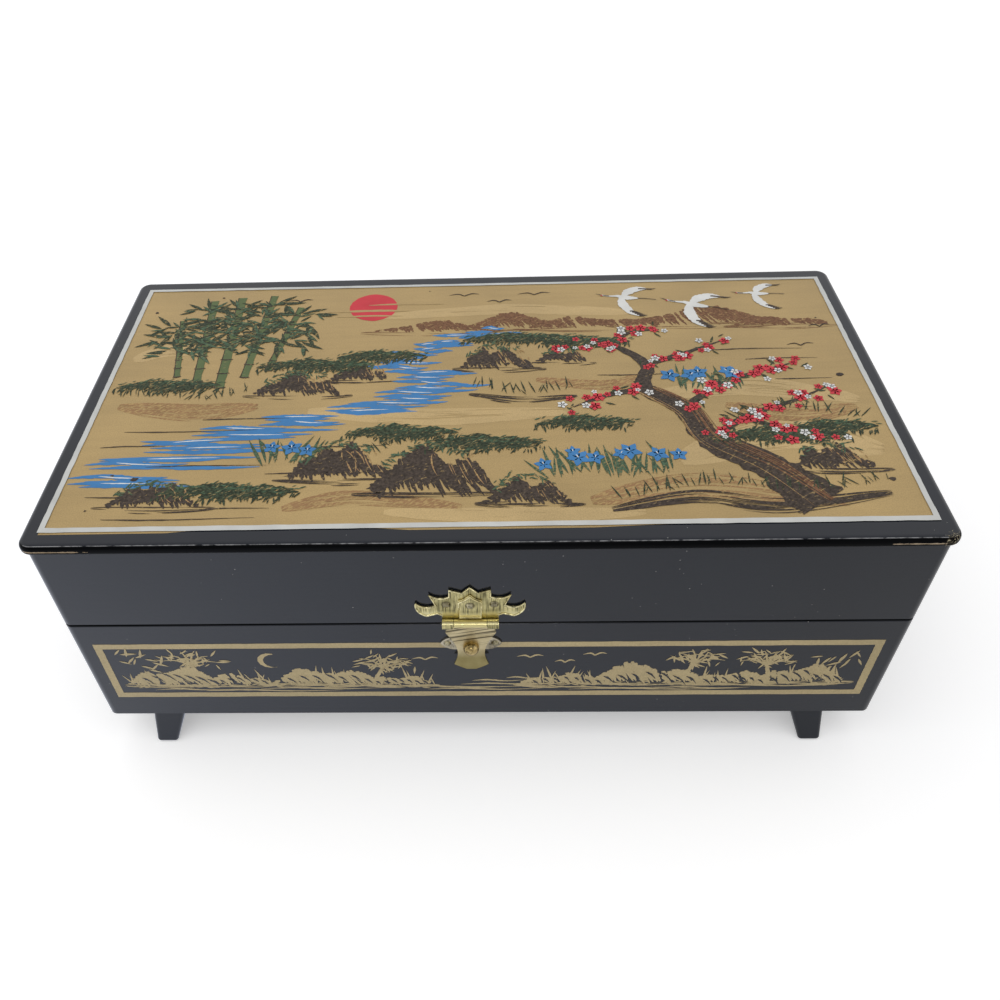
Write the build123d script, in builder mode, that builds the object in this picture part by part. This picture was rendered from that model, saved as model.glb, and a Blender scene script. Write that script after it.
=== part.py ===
from build123d import *
import os
from math import cos, pi, radians, sin

# A lacquered wooden music box: a lined case with a hinged lid, a hasp, and a wind-up movement.
# Millimetres. X runs along the width, the front looks along -Y, Z is up, and the feet stand on Z = 0.

# Case
BOX_W = 280.0
BOX_D = 148.0
BODY_H = 52.8
LID_H = 39.9
SEAM_GAP = 0.3
WALL_T = 7.0
BOTTOM_T = 5.0
TOP_T = 3.6
CORNER_R = 3.0
TOP_LAP = 1.5
TOP_EDGE_R = 2.0
TOP_UNDER_R = 1.0
SEAM_EASE = 0.5

# Feet: splayed tapered blocks
FOOT_H = 17.0
FOOT_TOP_W = 12.0
FOOT_TOP_D = 16.0
FOOT_BOTTOM_W = 7.8
FOOT_BOTTOM_D = 13.2
FOOT_END_INSET = 16.3
FOOT_FACE_INSET = 0.8
FOOT_END_SPLAY = 2.0
FOOT_FACE_SPLAY = 2.8
FOOT_ROUND = 1.4

# Inside: partitions, lining and the clear cover over the movement
PARTITION_T = 4.0
PARTITION_DROP = 5.0
LINING_T = 1.4
LINING_DROP = 4.0
PAD_T = 2.4
PAD_ROUND = 1.2
PAD_FIT = 0.3
COVER_T = 2.0
COVER_FIT = 0.3
BATTEN = 4.0
COVER_SCREW_INSET = 6.0

# Mirror in the lid
MIRROR_W = 196.0
MIRROR_D = 92.0
GLASS_T = 2.0
FRAME_T = 5.0
FRAME_RIM = 7.0
FRAME_LAP = 3.0
FRAME_EASE = 1.5
GLASS_FIT = 0.2

# Fits between metal pieces
SHAFT_FIT = 0.05
NAIL_FIT = 0.02
KNUCKLE_GAP = 0.2

# Nails and screws
NAIL_R = 0.6
NAIL_L = 5.0
NAIL_HEAD_R = 1.3
NAIL_HEAD_H = 0.7
NAIL_SHOULDER_R = 0.95
NAIL_SHOULDER_H = 0.5
SCREW_R = 1.4
SCREW_HEAD_R = 3.0
SCREW_HEAD_H = 1.6
SMALL_SCREW_R = 0.9
SMALL_HEAD_R = 1.8
SMALL_HEAD_H = 0.9
SMALL_SCREW_L = 3.0

# Rear hinges
HINGE_X = 85.0
HINGE_W = 24.0
HINGE_MIDDLE_W = 8.0
LEAF_T = 0.9
LEAF_H = 10.5
LEAF_CORNER_R = 1.0
KNUCKLE_R = 2.2
HINGE_STANDOFF = 0.3
HINGE_PIN_R = 0.8
HINGE_NAIL_SPREAD = 15.0
HINGE_NAIL_DROP = 7.0

# Hasp: an openwork plate on the lid, a hanging flap and a keeper plate on the case
CLASP_X = -4.0
HASP_LIFT = 2.2
HASP_STANDOFF = 2.1
HASP_T = 0.6
HASP_KNUCKLE_R = 1.7
HASP_PIN_R = 0.6
HASP_BARREL_W = 18.4
HASP_MIDDLE_W = 10.6
HASP_PEAK = (0.0, 16.4)
HASP_DIP = (2.6, 13.6)
HASP_INNER_POINT = (6.5, 15.2)
HASP_INNER_NOTCH = (6.5, 12.0)
HASP_OUTER_BROW = (10.0, 11.2)
HASP_OUTER_POINT = (13.0, 12.8)
HASP_OUTER_NOTCH = (11.0, 7.9)
HASP_HORN_BROW = (14.6, 6.8)
HASP_HORN_TIP = (17.4, 8.7)
HASP_HORN_SIDE = (16.5, 4.3)
HASP_HORN_FOOT = (14.0, 2.5)
HASP_WAIST = (10.7, 3.7)
HASP_HEEL_H = 3.0
HASP_NAIL_X = 7.7
HASP_NAIL_H = 8.2
BOSS_W = 7.2
BOSS_FOOT_H = 2.2
BOSS_SHOULDER_H = 9.8
BOSS_PEAK_H = 12.7
BOSS_RISE = 0.6
FLAP_T = 0.7
FLAP_GAP = 0.3
FLAP_SHOULDER = (5.3, 2.2)
FLAP_BROW = (7.7, 3.3)
FLAP_WIDEST = (8.35, 5.3)
FLAP_TAPER = (6.0, 10.0)
FLAP_WAIST = (4.8, 13.8)
FLAP_TAIL = (5.85, 21.4)
FLAP_L = 23.4
FLAP_BEND = 16.6
FLAP_FLARE = 1.9
KNOB_DROP = 13.0
KNOB_R = 2.7
KNOB_RIVET_R = 1.0
KEEPER_T = 0.6
KEEPER_DROP = 12.3
KEEPER_TIP_X = 10.3
KEEPER_BROW = (8.6, 2.2)
KEEPER_HALF_W = 4.6
KEEPER_HALF_H = 3.4
KEEPER_NAIL_X = 8.0

# Movement: bedplate
BED_T = 3.0
BED_EDGE = 0.5
BED_CORNER_R = 3.0
BED_MARGIN_X = 2.5
BED_MARGIN_Y = 5.5
MOVEMENT_SCREW_INSET = 4.0
BOARD_HOLE_FIT = 0.3
ARBOR_BOARD_HOLE_R = 4.0

# Spring barrel with crown teeth on its flange
DRUM_WALL = 0.9
DRUM_FLOOR = 1.0
DRUM_FOOT = 1.2
DRUM_TOP = 15.2
DRUM_CAP_T = 0.8
FLANGE_T = 1.2
FLANGE_LIP = 0.3
CROWN_TEETH = 36
CROWN_MODULE = 0.68
CROWN_FACE = 2.2
SPRING_TURNS = 4
SPRING_T = 0.5
SPRING_GAP = 0.4

# Winding arbor and key
WINDER_R = 1.8
WINDER_HEAD_R = 3.0
WINDER_HEAD_H = 1.0
WINDER_PLAY = 0.15
KEY_HUB_R = 3.4
KEY_TOP_GAP = 0.6
KEY_FLOOR_GAP = 2.0
KEY_LOBE_R = 4.6
KEY_LOBE_X = 6.4
KEY_LOBE_HOLE_R = 1.9
KEY_T = 1.6

# Music cylinder and comb
NOTES = 18
NOTE_PITCH = 0.95
CYLINDER_R = 6.4
PIN_SIDE = 0.42
PIN_H = 0.75
PIN_ROOT = 0.3
PINS_PER_NOTE = 5
ARBOR_R = 1.2
AXIAL_GAP = 0.7
DRIVE_TEETH = 12
COMB_TIP_GAP = 0.25
COMB_TOOTH_T = 0.7
COMB_BASE_T = 1.8
COMB_L = 17.6
COMB_SLIT = 0.22
COMB_LONG_SLIT = 11.5
COMB_SHORT_SLIT = 7.5
COMB_BASE_L = 6.0
COMB_SCREW_SPREAD = 10.0
BEARING_T = 1.6
BEARING_W = 7.0
BEARING_CAP_R = 2.8

# Wheel train and governor
TRAIN_MODULE = 0.3
WHEEL_TEETH = 54
WHEEL_T = 1.0
WHEEL_BED_GAP = 1.0
PINION_TEETH = 12
PINION_EXTRA = 0.3
MESH_PLAY = 0.08
TRAIN_ARBOR_R = 0.8
WORM_MODULE = 0.4
WORM_WHEEL_TEETH = 24
WORM_WHEEL_T = 1.2
WORM_PITCH_R = 1.6
WORM_TURNS = 5
WORM_PIVOT_R = 0.6
WORM_PIVOT_L = 1.6
FRAME_PLATE_T = 1.0
FRAME_HEADROOM = 0.8
FRAME_TAB_L = 3.6
FRAME_TAB_W = 4.4
FAN_R = 5.2
FAN_H = 3.2
FAN_HUB_R = 1.6
FAN_WING_T = 0.5
FAN_DISC_T = 0.5
FAN_LIFT = 0.6

# Teeth, as shares of the pitch or of the module
TOOTH_PITCH_SHARE = 0.37
TOOTH_TIP_SHARE = 0.2
TOOTH_ROOT_SHARE = 0.5
ADDENDUM = 0.8
DEDENDUM = 1.1

# Stop wire that the closed lid holds down on the fan
WIRE_R = 0.7
WIRE_SIDES = 8
WIRE_FAN_REACH = 2.8
WIRE_FAN_GAP = 0.25
WIRE_RIM_GAP = 0.1
WIRE_BEND_R = 2.2
WIRE_POST_DEPTH = 2.8
WIRE_POST_BEHIND = 1.4
WIRE_REACH = 37.0
WIRE_EYE_START = -20.0
STOP_PIVOT_R = 1.2
STOP_PIVOT_SHANK = 5.0
STOP_TILT = 4.5
GROOVE_FIT = 0.4

# Reaches of the movement, from the barrel's axis along X and from the cylinder's axis along Y
CROWN_R = CROWN_MODULE * CROWN_TEETH / 2
DRUM_R = CROWN_R - CROWN_FACE / 2 - AXIAL_GAP
FLANGE_R = CROWN_R + CROWN_FACE / 2 + FLANGE_LIP
CYLINDER_L = NOTES * NOTE_PITCH
PIN_TIP_R = CYLINDER_R + PIN_H
WHEEL_R = TRAIN_MODULE * WHEEL_TEETH / 2
PINION_R = TRAIN_MODULE * PINION_TEETH / 2
WORM_WHEEL_R = WORM_MODULE * WORM_WHEEL_TEETH / 2
WORM_TIP_R = WORM_PITCH_R + ADDENDUM * WORM_MODULE
WORM_ROOT_R = WORM_PITCH_R - DEDENDUM * WORM_MODULE
CYLINDER_REACH = FLANGE_R + AXIAL_GAP + BEARING_T + AXIAL_GAP
WORM_REACH = CYLINDER_REACH + CYLINDER_L + WHEEL_T + AXIAL_GAP + BEARING_T / 2
FRAME_REACH = WORM_REACH + WORM_TIP_R + AXIAL_GAP + FRAME_PLATE_T + FRAME_TAB_L
COMB_REACH = PIN_TIP_R + COMB_TIP_GAP + COMB_L
TRAIN_REACH = WHEEL_R + PINION_R + MESH_PLAY
GOVERNOR_REACH = TRAIN_REACH + WORM_WHEEL_R + WORM_PITCH_R + MESH_PLAY
AXIS_H = WHEEL_R + ADDENDUM * TRAIN_MODULE + WHEEL_BED_GAP
BED_LEFT = FLANGE_R + BED_EDGE
BED_RIGHT = FRAME_REACH + BED_EDGE
BED_FRONT = COMB_REACH + BED_EDGE
BED_BACK = GOVERNOR_REACH + FAN_R + BED_EDGE
BAY_W = BED_LEFT + BED_RIGHT + 2 * BED_MARGIN_X
BAY_D = BED_FRONT + BED_BACK + 2 * BED_MARGIN_Y

# Levels and faces that follow from the sizes
HALF_W = BOX_W / 2
HALF_D = BOX_D / 2
INSIDE_X = HALF_W - WALL_T
INSIDE_Y = HALF_D - WALL_T
FLOOR_Z = FOOT_H + BOTTOM_T
RIM_Z = FOOT_H + BODY_H
LID_Z = RIM_Z + SEAM_GAP
LID_WALL_H = LID_H - TOP_T
CEILING_Z = LID_Z + LID_WALL_H
BAY_X = INSIDE_X - BAY_W
BAY_Y = INSIDE_Y - BAY_D
PARTITION_X = BAY_X - PARTITION_T
CROSS_Y = BAY_Y - PARTITION_T
PARTITION_TOP = RIM_Z - PARTITION_DROP
COVER_Z = PARTITION_TOP - COVER_T
BATTEN_Z = COVER_Z - BATTEN
HINGE_AXIS_Y = HALF_D + KNUCKLE_R + HINGE_STANDOFF
HINGE_AXIS_Z = RIM_Z + SEAM_GAP / 2
HINGE_OUT = 2 * KNUCKLE_R + HINGE_STANDOFF
HASP_AXIS_Y = -HALF_D - HASP_STANDOFF
HASP_AXIS_Z = LID_Z + HASP_LIFT
FLAP_BACK_Y = -HALF_D - KEEPER_T - FLAP_GAP
KEEPER_Z = HASP_AXIS_Z - KEEPER_DROP

# The knob stands out as far in front as the hinges do behind, so the origin stays in the middle.
KNOB_H = HINGE_OUT - KEEPER_T - FLAP_GAP - FLAP_T

# Places in the movement
BARREL_X = BAY_X + BED_MARGIN_X + BED_LEFT
MOVE_Y = BAY_Y + BED_MARGIN_Y + BED_FRONT
BED_Z = FLOOR_Z + BED_T
AXIS_Z = BED_Z + AXIS_H
CROWN_PITCH_Z = AXIS_Z - CROWN_MODULE * DRIVE_TEETH / 2
CROWN_ROOT_Z = CROWN_PITCH_Z - DEDENDUM * CROWN_MODULE
DRIVE_X = BARREL_X + CROWN_R - CROWN_FACE / 2
LEFT_BEARING_X = BARREL_X + FLANGE_R + AXIAL_GAP
CYLINDER_X = BARREL_X + CYLINDER_REACH
WHEEL_X = CYLINDER_X + CYLINDER_L
RIGHT_BEARING_X = WHEEL_X + WHEEL_T + AXIAL_GAP
COMB_BACK_Y = MOVE_Y - COMB_REACH
COMB_TIP_Y = COMB_BACK_Y + COMB_L
COMB_SCREW_Y = COMB_BACK_Y + COMB_BASE_L / 2
COMB_MIDDLE_X = CYLINDER_X + CYLINDER_L / 2
COMB_TOP_Z = AXIS_Z - COMB_TOOTH_T / 2 + COMB_BASE_T
TRAIN_Y = MOVE_Y + TRAIN_REACH
WORM_X = BARREL_X + WORM_REACH
WORM_Y = MOVE_Y + GOVERNOR_REACH
WORM_LEAD = pi * WORM_MODULE
FRAME_LEFT_X = WHEEL_X - AXIAL_GAP - PINION_EXTRA - FRAME_PLATE_T
FRAME_RIGHT_X = WORM_X + WORM_TIP_R + AXIAL_GAP
FRAME_FRONT_Y = MOVE_Y + PIN_TIP_R + AXIAL_GAP
FRAME_BACK_Y = WORM_Y + WORM_TIP_R + AXIAL_GAP
FRAME_TOP_Z = AXIS_Z + WORM_WHEEL_R + WORM_MODULE + FRAME_HEADROOM
FAN_Z = FRAME_TOP_Z + FRAME_PLATE_T + FAN_LIFT
FAN_TOP_Z = FAN_Z + FAN_H + FAN_DISC_T
WIRE_X = WORM_X + WIRE_FAN_REACH
WIRE_Z = FAN_TOP_Z + WIRE_FAN_GAP + WIRE_R
EYE_R = STOP_PIVOT_R + SHAFT_FIT + WIRE_R
POST_X = INSIDE_X + WIRE_POST_DEPTH
POST_Y = WORM_Y + FAN_R + WIRE_POST_BEHIND
POST_TOP_Z = LID_Z - WIRE_RIM_GAP
STOP_Y = POST_Y - WIRE_REACH
STOP_Z = WIRE_Z - EYE_R
STOP_SWING = (RIM_Z - STOP_Z) * sin(radians(STOP_TILT)) + WIRE_REACH * (1 - cos(radians(STOP_TILT)))
KEY_LOBE_Z = KEY_FLOOR_GAP + KEY_LOBE_R
KEY_TOP_Z = FOOT_H - KEY_TOP_GAP

BODY_NAILS = [(CLASP_X + s * KEEPER_NAIL_X, KEEPER_Z) for s in (-1, 1)]
HASP_NAILS = [(CLASP_X + x, HASP_AXIS_Z + HASP_NAIL_H) for x in (-HASP_NAIL_X, 0, HASP_NAIL_X)]
HINGE_NAIL_XS = [
    side * HINGE_X + spread * HINGE_NAIL_SPREAD / 2 for side in (-1, 1) for spread in (-1, 1)
]
MOVEMENT_SCREWS = [
    (BARREL_X - BED_LEFT + MOVEMENT_SCREW_INSET, MOVE_Y - BED_FRONT + MOVEMENT_SCREW_INSET),
    (BARREL_X + BED_RIGHT - MOVEMENT_SCREW_INSET, MOVE_Y - BED_FRONT + MOVEMENT_SCREW_INSET),
    (BARREL_X - BED_LEFT + MOVEMENT_SCREW_INSET, MOVE_Y + BED_BACK - MOVEMENT_SCREW_INSET),
]
COMB_SCREWS = [(COMB_MIDDLE_X + s * COMB_SCREW_SPREAD / 2, COMB_SCREW_Y) for s in (-1, 1)]
COVER_SCREWS = [
    (x, y)
    for x in (BAY_X + COVER_SCREW_INSET, INSIDE_X - COVER_SCREW_INSET)
    for y in (BAY_Y + BATTEN / 2, INSIDE_Y - BATTEN / 2)
]
FRAME_SCREWS = [
    (FRAME_LEFT_X - FRAME_TAB_L / 2, FRAME_BACK_Y - FRAME_TAB_W / 2),
    (FRAME_RIGHT_X + FRAME_PLATE_T + FRAME_TAB_L / 2, FRAME_FRONT_Y + FRAME_TAB_W / 2),
]


def block(x0, x1, y0, y1, z0, z1, mode=Mode.ADD):
    """Add or cut a block between two corners."""
    with BuildSketch(Plane.XY.offset(z0)) as plan:
        with Locations(((x0 + x1) / 2, (y0 + y1) / 2)):
            Rectangle(x1 - x0, y1 - y0)
    extrude(plan.sketch, amount=z1 - z0, mode=mode)


def rod(start, direction, radius, length, mode=Mode.ADD):
    """Add or cut a round bar that runs from a point along a direction."""
    with BuildSketch(Plane(origin=start, z_dir=direction)) as section:
        Circle(radius)
    extrude(section.sketch, amount=length, mode=mode)


def face_plane(x, y, z):
    """A plane on the front of the case, with its Y up and its normal outwards."""
    return Plane(origin=(x, y, z), x_dir=(1, 0, 0), z_dir=(0, -1, 0))


def mirrored(point):
    """The same point of an outline, below its axis instead of above it."""
    return (point[0], -point[1])


def nail(x, z, seat_y, outward):
    """A round-headed nail driven along Y into the case from seat_y."""
    with BuildSketch(Plane.XY.offset(z)) as profile:
        with BuildLine():
            tip_y = seat_y - outward * NAIL_L
            shoulder = (x + NAIL_SHOULDER_R, seat_y + outward * NAIL_SHOULDER_H)
            crown = (x, seat_y + outward * NAIL_HEAD_H)
            shank = [(x, tip_y), (x + NAIL_R, tip_y), (x + NAIL_R, seat_y)]
            Polyline(*shank, (x + NAIL_HEAD_R, seat_y), shoulder, crown, close=True)
        make_face()
    revolve(profile.sketch, axis=Axis((x, 0, z), (0, 1, 0)))


def nail_holes(places, from_y, inward):
    """Cut a nail hole at each (x, z) place, from a face along Y."""
    for x, z in places:
        rod((x, from_y, z), (0, inward, 0), NAIL_R + NAIL_FIT, NAIL_L + NAIL_FIT, Mode.SUBTRACT)


def long_wall(side, base_z, height, seam_on_top):
    """A front or back wall over the whole width, rounded at its outside corners."""
    with BuildPart() as wall:
        with BuildSketch(Plane.XY.offset(base_z)) as plan:
            with Locations((0, side * (BOX_D - WALL_T) / 2)):
                Rectangle(BOX_W, WALL_T)
            fillet(plan.vertices().sort_by(Axis.Y, reverse=side > 0)[:2], CORNER_R)
        extrude(amount=height)
        seam = wall.faces().sort_by(Axis.Z)[-1 if seam_on_top else 0]
        chamfer(seam.edges().sort_by(Axis.Y, reverse=side > 0)[:-1], SEAM_EASE)
    return wall


def end_wall(side, base_z, height, seam_on_top):
    """A left or right wall that fits between the front and back walls."""
    with BuildPart() as wall:
        outer = side * HALF_W
        inner = side * INSIDE_X
        block(min(inner, outer), max(inner, outer), -INSIDE_Y, INSIDE_Y, base_z, base_z + height)
        seam = wall.faces().sort_by(Axis.Z)[-1 if seam_on_top else 0]
        chamfer(seam.edges().sort_by(Axis.X, reverse=side > 0)[0], SEAM_EASE)
    return wall


def front_wall():
    with BuildPart() as wall:
        add(long_wall(-1, FOOT_H, BODY_H, True).part)
        nail_holes(BODY_NAILS, -HALF_D, 1)
    return wall


def back_wall():
    with BuildPart() as wall:
        add(long_wall(1, FOOT_H, BODY_H, True).part)
        nail_holes([(x, HINGE_AXIS_Z - HINGE_NAIL_DROP) for x in HINGE_NAIL_XS], HALF_D, -1)
    return wall


def right_wall():
    """The wall beside the movement, with a groove for the post of the stop wire."""
    with BuildPart() as wall:
        add(end_wall(1, FOOT_H, BODY_H, True).part)
        room = WIRE_R + GROOVE_FIT
        front_y = POST_Y - room - STOP_SWING
        block(INSIDE_X, POST_X + room, front_y, POST_Y + room, WIRE_Z - room, RIM_Z, Mode.SUBTRACT)
        rod((INSIDE_X, STOP_Y, STOP_Z), (1, 0, 0), STOP_PIVOT_R, STOP_PIVOT_SHANK, Mode.SUBTRACT)
    return wall


def lid_front_wall():
    with BuildPart() as wall:
        add(long_wall(-1, LID_Z, LID_WALL_H, False).part)
        nail_holes(HASP_NAILS, -HALF_D, 1)
    return wall


def lid_back_wall():
    with BuildPart() as wall:
        add(long_wall(1, LID_Z, LID_WALL_H, False).part)
        nail_holes([(x, HINGE_AXIS_Z + HINGE_NAIL_DROP) for x in HINGE_NAIL_XS], HALF_D, -1)
    return wall


def bottom_board():
    """The board between the walls, drilled for the winding arbor and the movement's screws."""
    with BuildPart() as board:
        block(-INSIDE_X, INSIDE_X, -INSIDE_Y, INSIDE_Y, FOOT_H, FLOOR_Z)
        rod((BARREL_X, MOVE_Y, FOOT_H), (0, 0, 1), ARBOR_BOARD_HOLE_R, BOTTOM_T, Mode.SUBTRACT)
        for x, y in MOVEMENT_SCREWS:
            rod((x, y, FOOT_H), (0, 0, 1), SCREW_R + SHAFT_FIT, BOTTOM_T, Mode.SUBTRACT)
            rod((x, y, FOOT_H), (0, 0, 1), SCREW_HEAD_R + BOARD_HOLE_FIT, SCREW_HEAD_H, Mode.SUBTRACT)
    return board


def foot_profile(side, outer, splay, top, bottom):
    """Corners of a foot seen along one axis: level with outer at the top, splayed out at the floor."""
    low = outer + splay
    upper = [(side * outer, FOOT_H), (side * (outer - top), FOOT_H)]
    return upper + [(side * (low - bottom), 0), (side * low, 0)]


def foot(side_x, side_y):
    """A tapered block whose outer faces lean outwards towards the floor."""
    outer_x = HALF_W - FOOT_END_INSET
    outer_y = HALF_D - FOOT_FACE_INSET
    with BuildPart() as block_foot:
        with BuildSketch(Plane.XZ):
            with BuildLine():
                front = foot_profile(side_x, outer_x, FOOT_END_SPLAY, FOOT_TOP_W, FOOT_BOTTOM_W)
                Polyline(*front, close=True)
            make_face()
        extrude(amount=outer_y + FOOT_FACE_SPLAY, both=True)
        with BuildSketch(Plane.YZ):
            with BuildLine():
                end = foot_profile(side_y, outer_y, FOOT_FACE_SPLAY, FOOT_TOP_D, FOOT_BOTTOM_D)
                Polyline(*end, close=True)
            make_face()
        extrude(amount=outer_x + FOOT_END_SPLAY, both=True, mode=Mode.INTERSECT)
        top = block_foot.faces().sort_by(Axis.Z)[-1]
        fillet([e for e in block_foot.edges() if e not in top.edges()], FOOT_ROUND)
    return block_foot


def floor_pad(x0, x1, y0, y1):
    """A thin velvet-covered pad on the floor of a compartment, inside its wall lining."""
    inset = LINING_T + PAD_FIT
    with BuildPart() as pad:
        block(x0 + inset, x1 - inset, y0 + inset, y1 - inset, FLOOR_Z, FLOOR_Z + PAD_T)
        fillet(pad.faces().sort_by(Axis.Z)[-1].edges(), PAD_ROUND)
    return pad


def wall_lining(x0, x1, y0, y1):
    """A velvet-covered strip that goes once round the walls of a compartment."""
    with BuildPart() as lining:
        top = PARTITION_TOP - LINING_DROP
        block(x0, x1, y0, y1, FLOOR_Z, top)
        inner = LINING_T
        block(x0 + inner, x1 - inner, y0 + inner, y1 - inner, FLOOR_Z, top, Mode.SUBTRACT)
    return lining


def partition():
    with BuildPart() as board:
        block(PARTITION_X, BAY_X, -INSIDE_Y, INSIDE_Y, FLOOR_Z, PARTITION_TOP)
    return board


def cross_partition():
    with BuildPart() as board:
        block(BAY_X, INSIDE_X, CROSS_Y, BAY_Y, FLOOR_Z, PARTITION_TOP)
    return board


def cover_battens():
    """Two strips that carry the clear cover, on the cross partition and on the back wall."""
    with BuildPart() as battens:
        for y in (BAY_Y, INSIDE_Y - BATTEN):
            block(BAY_X, INSIDE_X, y, y + BATTEN, BATTEN_Z, COVER_Z)
        for x, y in COVER_SCREWS:
            rod((x, y, COVER_Z), (0, 0, -1), SMALL_SCREW_R, SMALL_SCREW_L, Mode.SUBTRACT)
    return battens


def movement_cover():
    """The clear sheet over the movement."""
    with BuildPart() as cover:
        fit = COVER_FIT
        block(BAY_X + fit, INSIDE_X - fit, BAY_Y + fit, INSIDE_Y - fit, COVER_Z, PARTITION_TOP)
        for x, y in COVER_SCREWS:
            rod((x, y, COVER_Z), (0, 0, 1), SMALL_SCREW_R + SHAFT_FIT, COVER_T, Mode.SUBTRACT)
    return cover


def small_screws(places, seat_z, grip, bite):
    """Small pan-head screws: heads on seat_z, and shanks that pass grip and bite below it."""
    with BuildPart() as screws:
        for x, y in places:
            rod((x, y, seat_z), (0, 0, 1), SMALL_HEAD_R, SMALL_HEAD_H)
            rod((x, y, seat_z), (0, 0, -1), SMALL_SCREW_R, grip + bite)
    return screws


def hinge_leaves(up, knuckle_spans):
    """The two leaves on the case (up = -1) or on the lid (up = 1), with their rolled knuckles."""
    reach = KNUCKLE_R + KNUCKLE_GAP
    tip_z = HINGE_AXIS_Z + up * LEAF_H
    near_z = HINGE_AXIS_Z + up * reach
    with BuildPart() as leaves:
        for hinge_x in (-HINGE_X, HINGE_X):
            with BuildSketch(Plane.XZ.offset(-HALF_D)) as plate:
                with Locations((hinge_x, (tip_z + near_z) / 2)):
                    Rectangle(HINGE_W, LEAF_H - reach)
                fillet(plate.vertices().sort_by(Axis.Z, reverse=up > 0)[:2], LEAF_CORNER_R)
            extrude(amount=-LEAF_T)
            for start, width in knuckle_spans:
                with BuildSketch(Plane.YZ.offset(hinge_x + start)):
                    with Locations((HALF_D + LEAF_T / 2, HINGE_AXIS_Z + up * reach / 2)):
                        Rectangle(LEAF_T, reach)
                    with Locations((HINGE_AXIS_Y, HINGE_AXIS_Z)):
                        Circle(KNUCKLE_R)
                        Circle(HINGE_PIN_R + SHAFT_FIT, mode=Mode.SUBTRACT)
                extrude(amount=width)
        places = [(x, HINGE_AXIS_Z + up * HINGE_NAIL_DROP) for x in HINGE_NAIL_XS]
        nail_holes(places, HALF_D + LEAF_T, -1)
    return leaves


def hinge_pins():
    with BuildPart() as pins:
        for hinge_x in (-HINGE_X, HINGE_X):
            rod((hinge_x - HINGE_W / 2, HINGE_AXIS_Y, HINGE_AXIS_Z), (1, 0, 0), HINGE_PIN_R, HINGE_W)
    return pins


def body_nails():
    """The nails of the keeper plate and of the lower hinge leaves."""
    with BuildPart() as nails:
        for x, z in BODY_NAILS:
            nail(x, z, -HALF_D - KEEPER_T, -1)
        for x in HINGE_NAIL_XS:
            nail(x, HINGE_AXIS_Z - HINGE_NAIL_DROP, HALF_D + LEAF_T, 1)
    return nails


def lid_nails():
    """The nails of the hasp plate and of the upper hinge leaves."""
    with BuildPart() as nails:
        for x, z in HASP_NAILS:
            rise = BOSS_RISE if x == CLASP_X else 0
            nail(x, z, -HALF_D - HASP_T - rise, -1)
        for x in HINGE_NAIL_XS:
            nail(x, HINGE_AXIS_Z + HINGE_NAIL_DROP, HALF_D + LEAF_T, 1)
    return nails


def keeper_plate():
    """The plate behind the flap, with a pointed ear on each side."""
    with BuildPart() as plate:
        with BuildSketch(face_plane(CLASP_X, -HALF_D, KEEPER_Z)):
            with BuildLine():
                shoulder = (KEEPER_HALF_W, KEEPER_HALF_H)
                tip = (KEEPER_TIP_X, 0)
                Line((0, KEEPER_HALF_H), shoulder)
                ThreePointArc(shoulder, KEEPER_BROW, tip)
                ThreePointArc(tip, mirrored(KEEPER_BROW), mirrored(shoulder))
                Line(mirrored(shoulder), (0, -KEEPER_HALF_H))
                mirror(about=Plane.YZ)
            make_face()
        extrude(amount=KEEPER_T)
        nail_holes(BODY_NAILS, -HALF_D - KEEPER_T, 1)
    return plate


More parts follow.
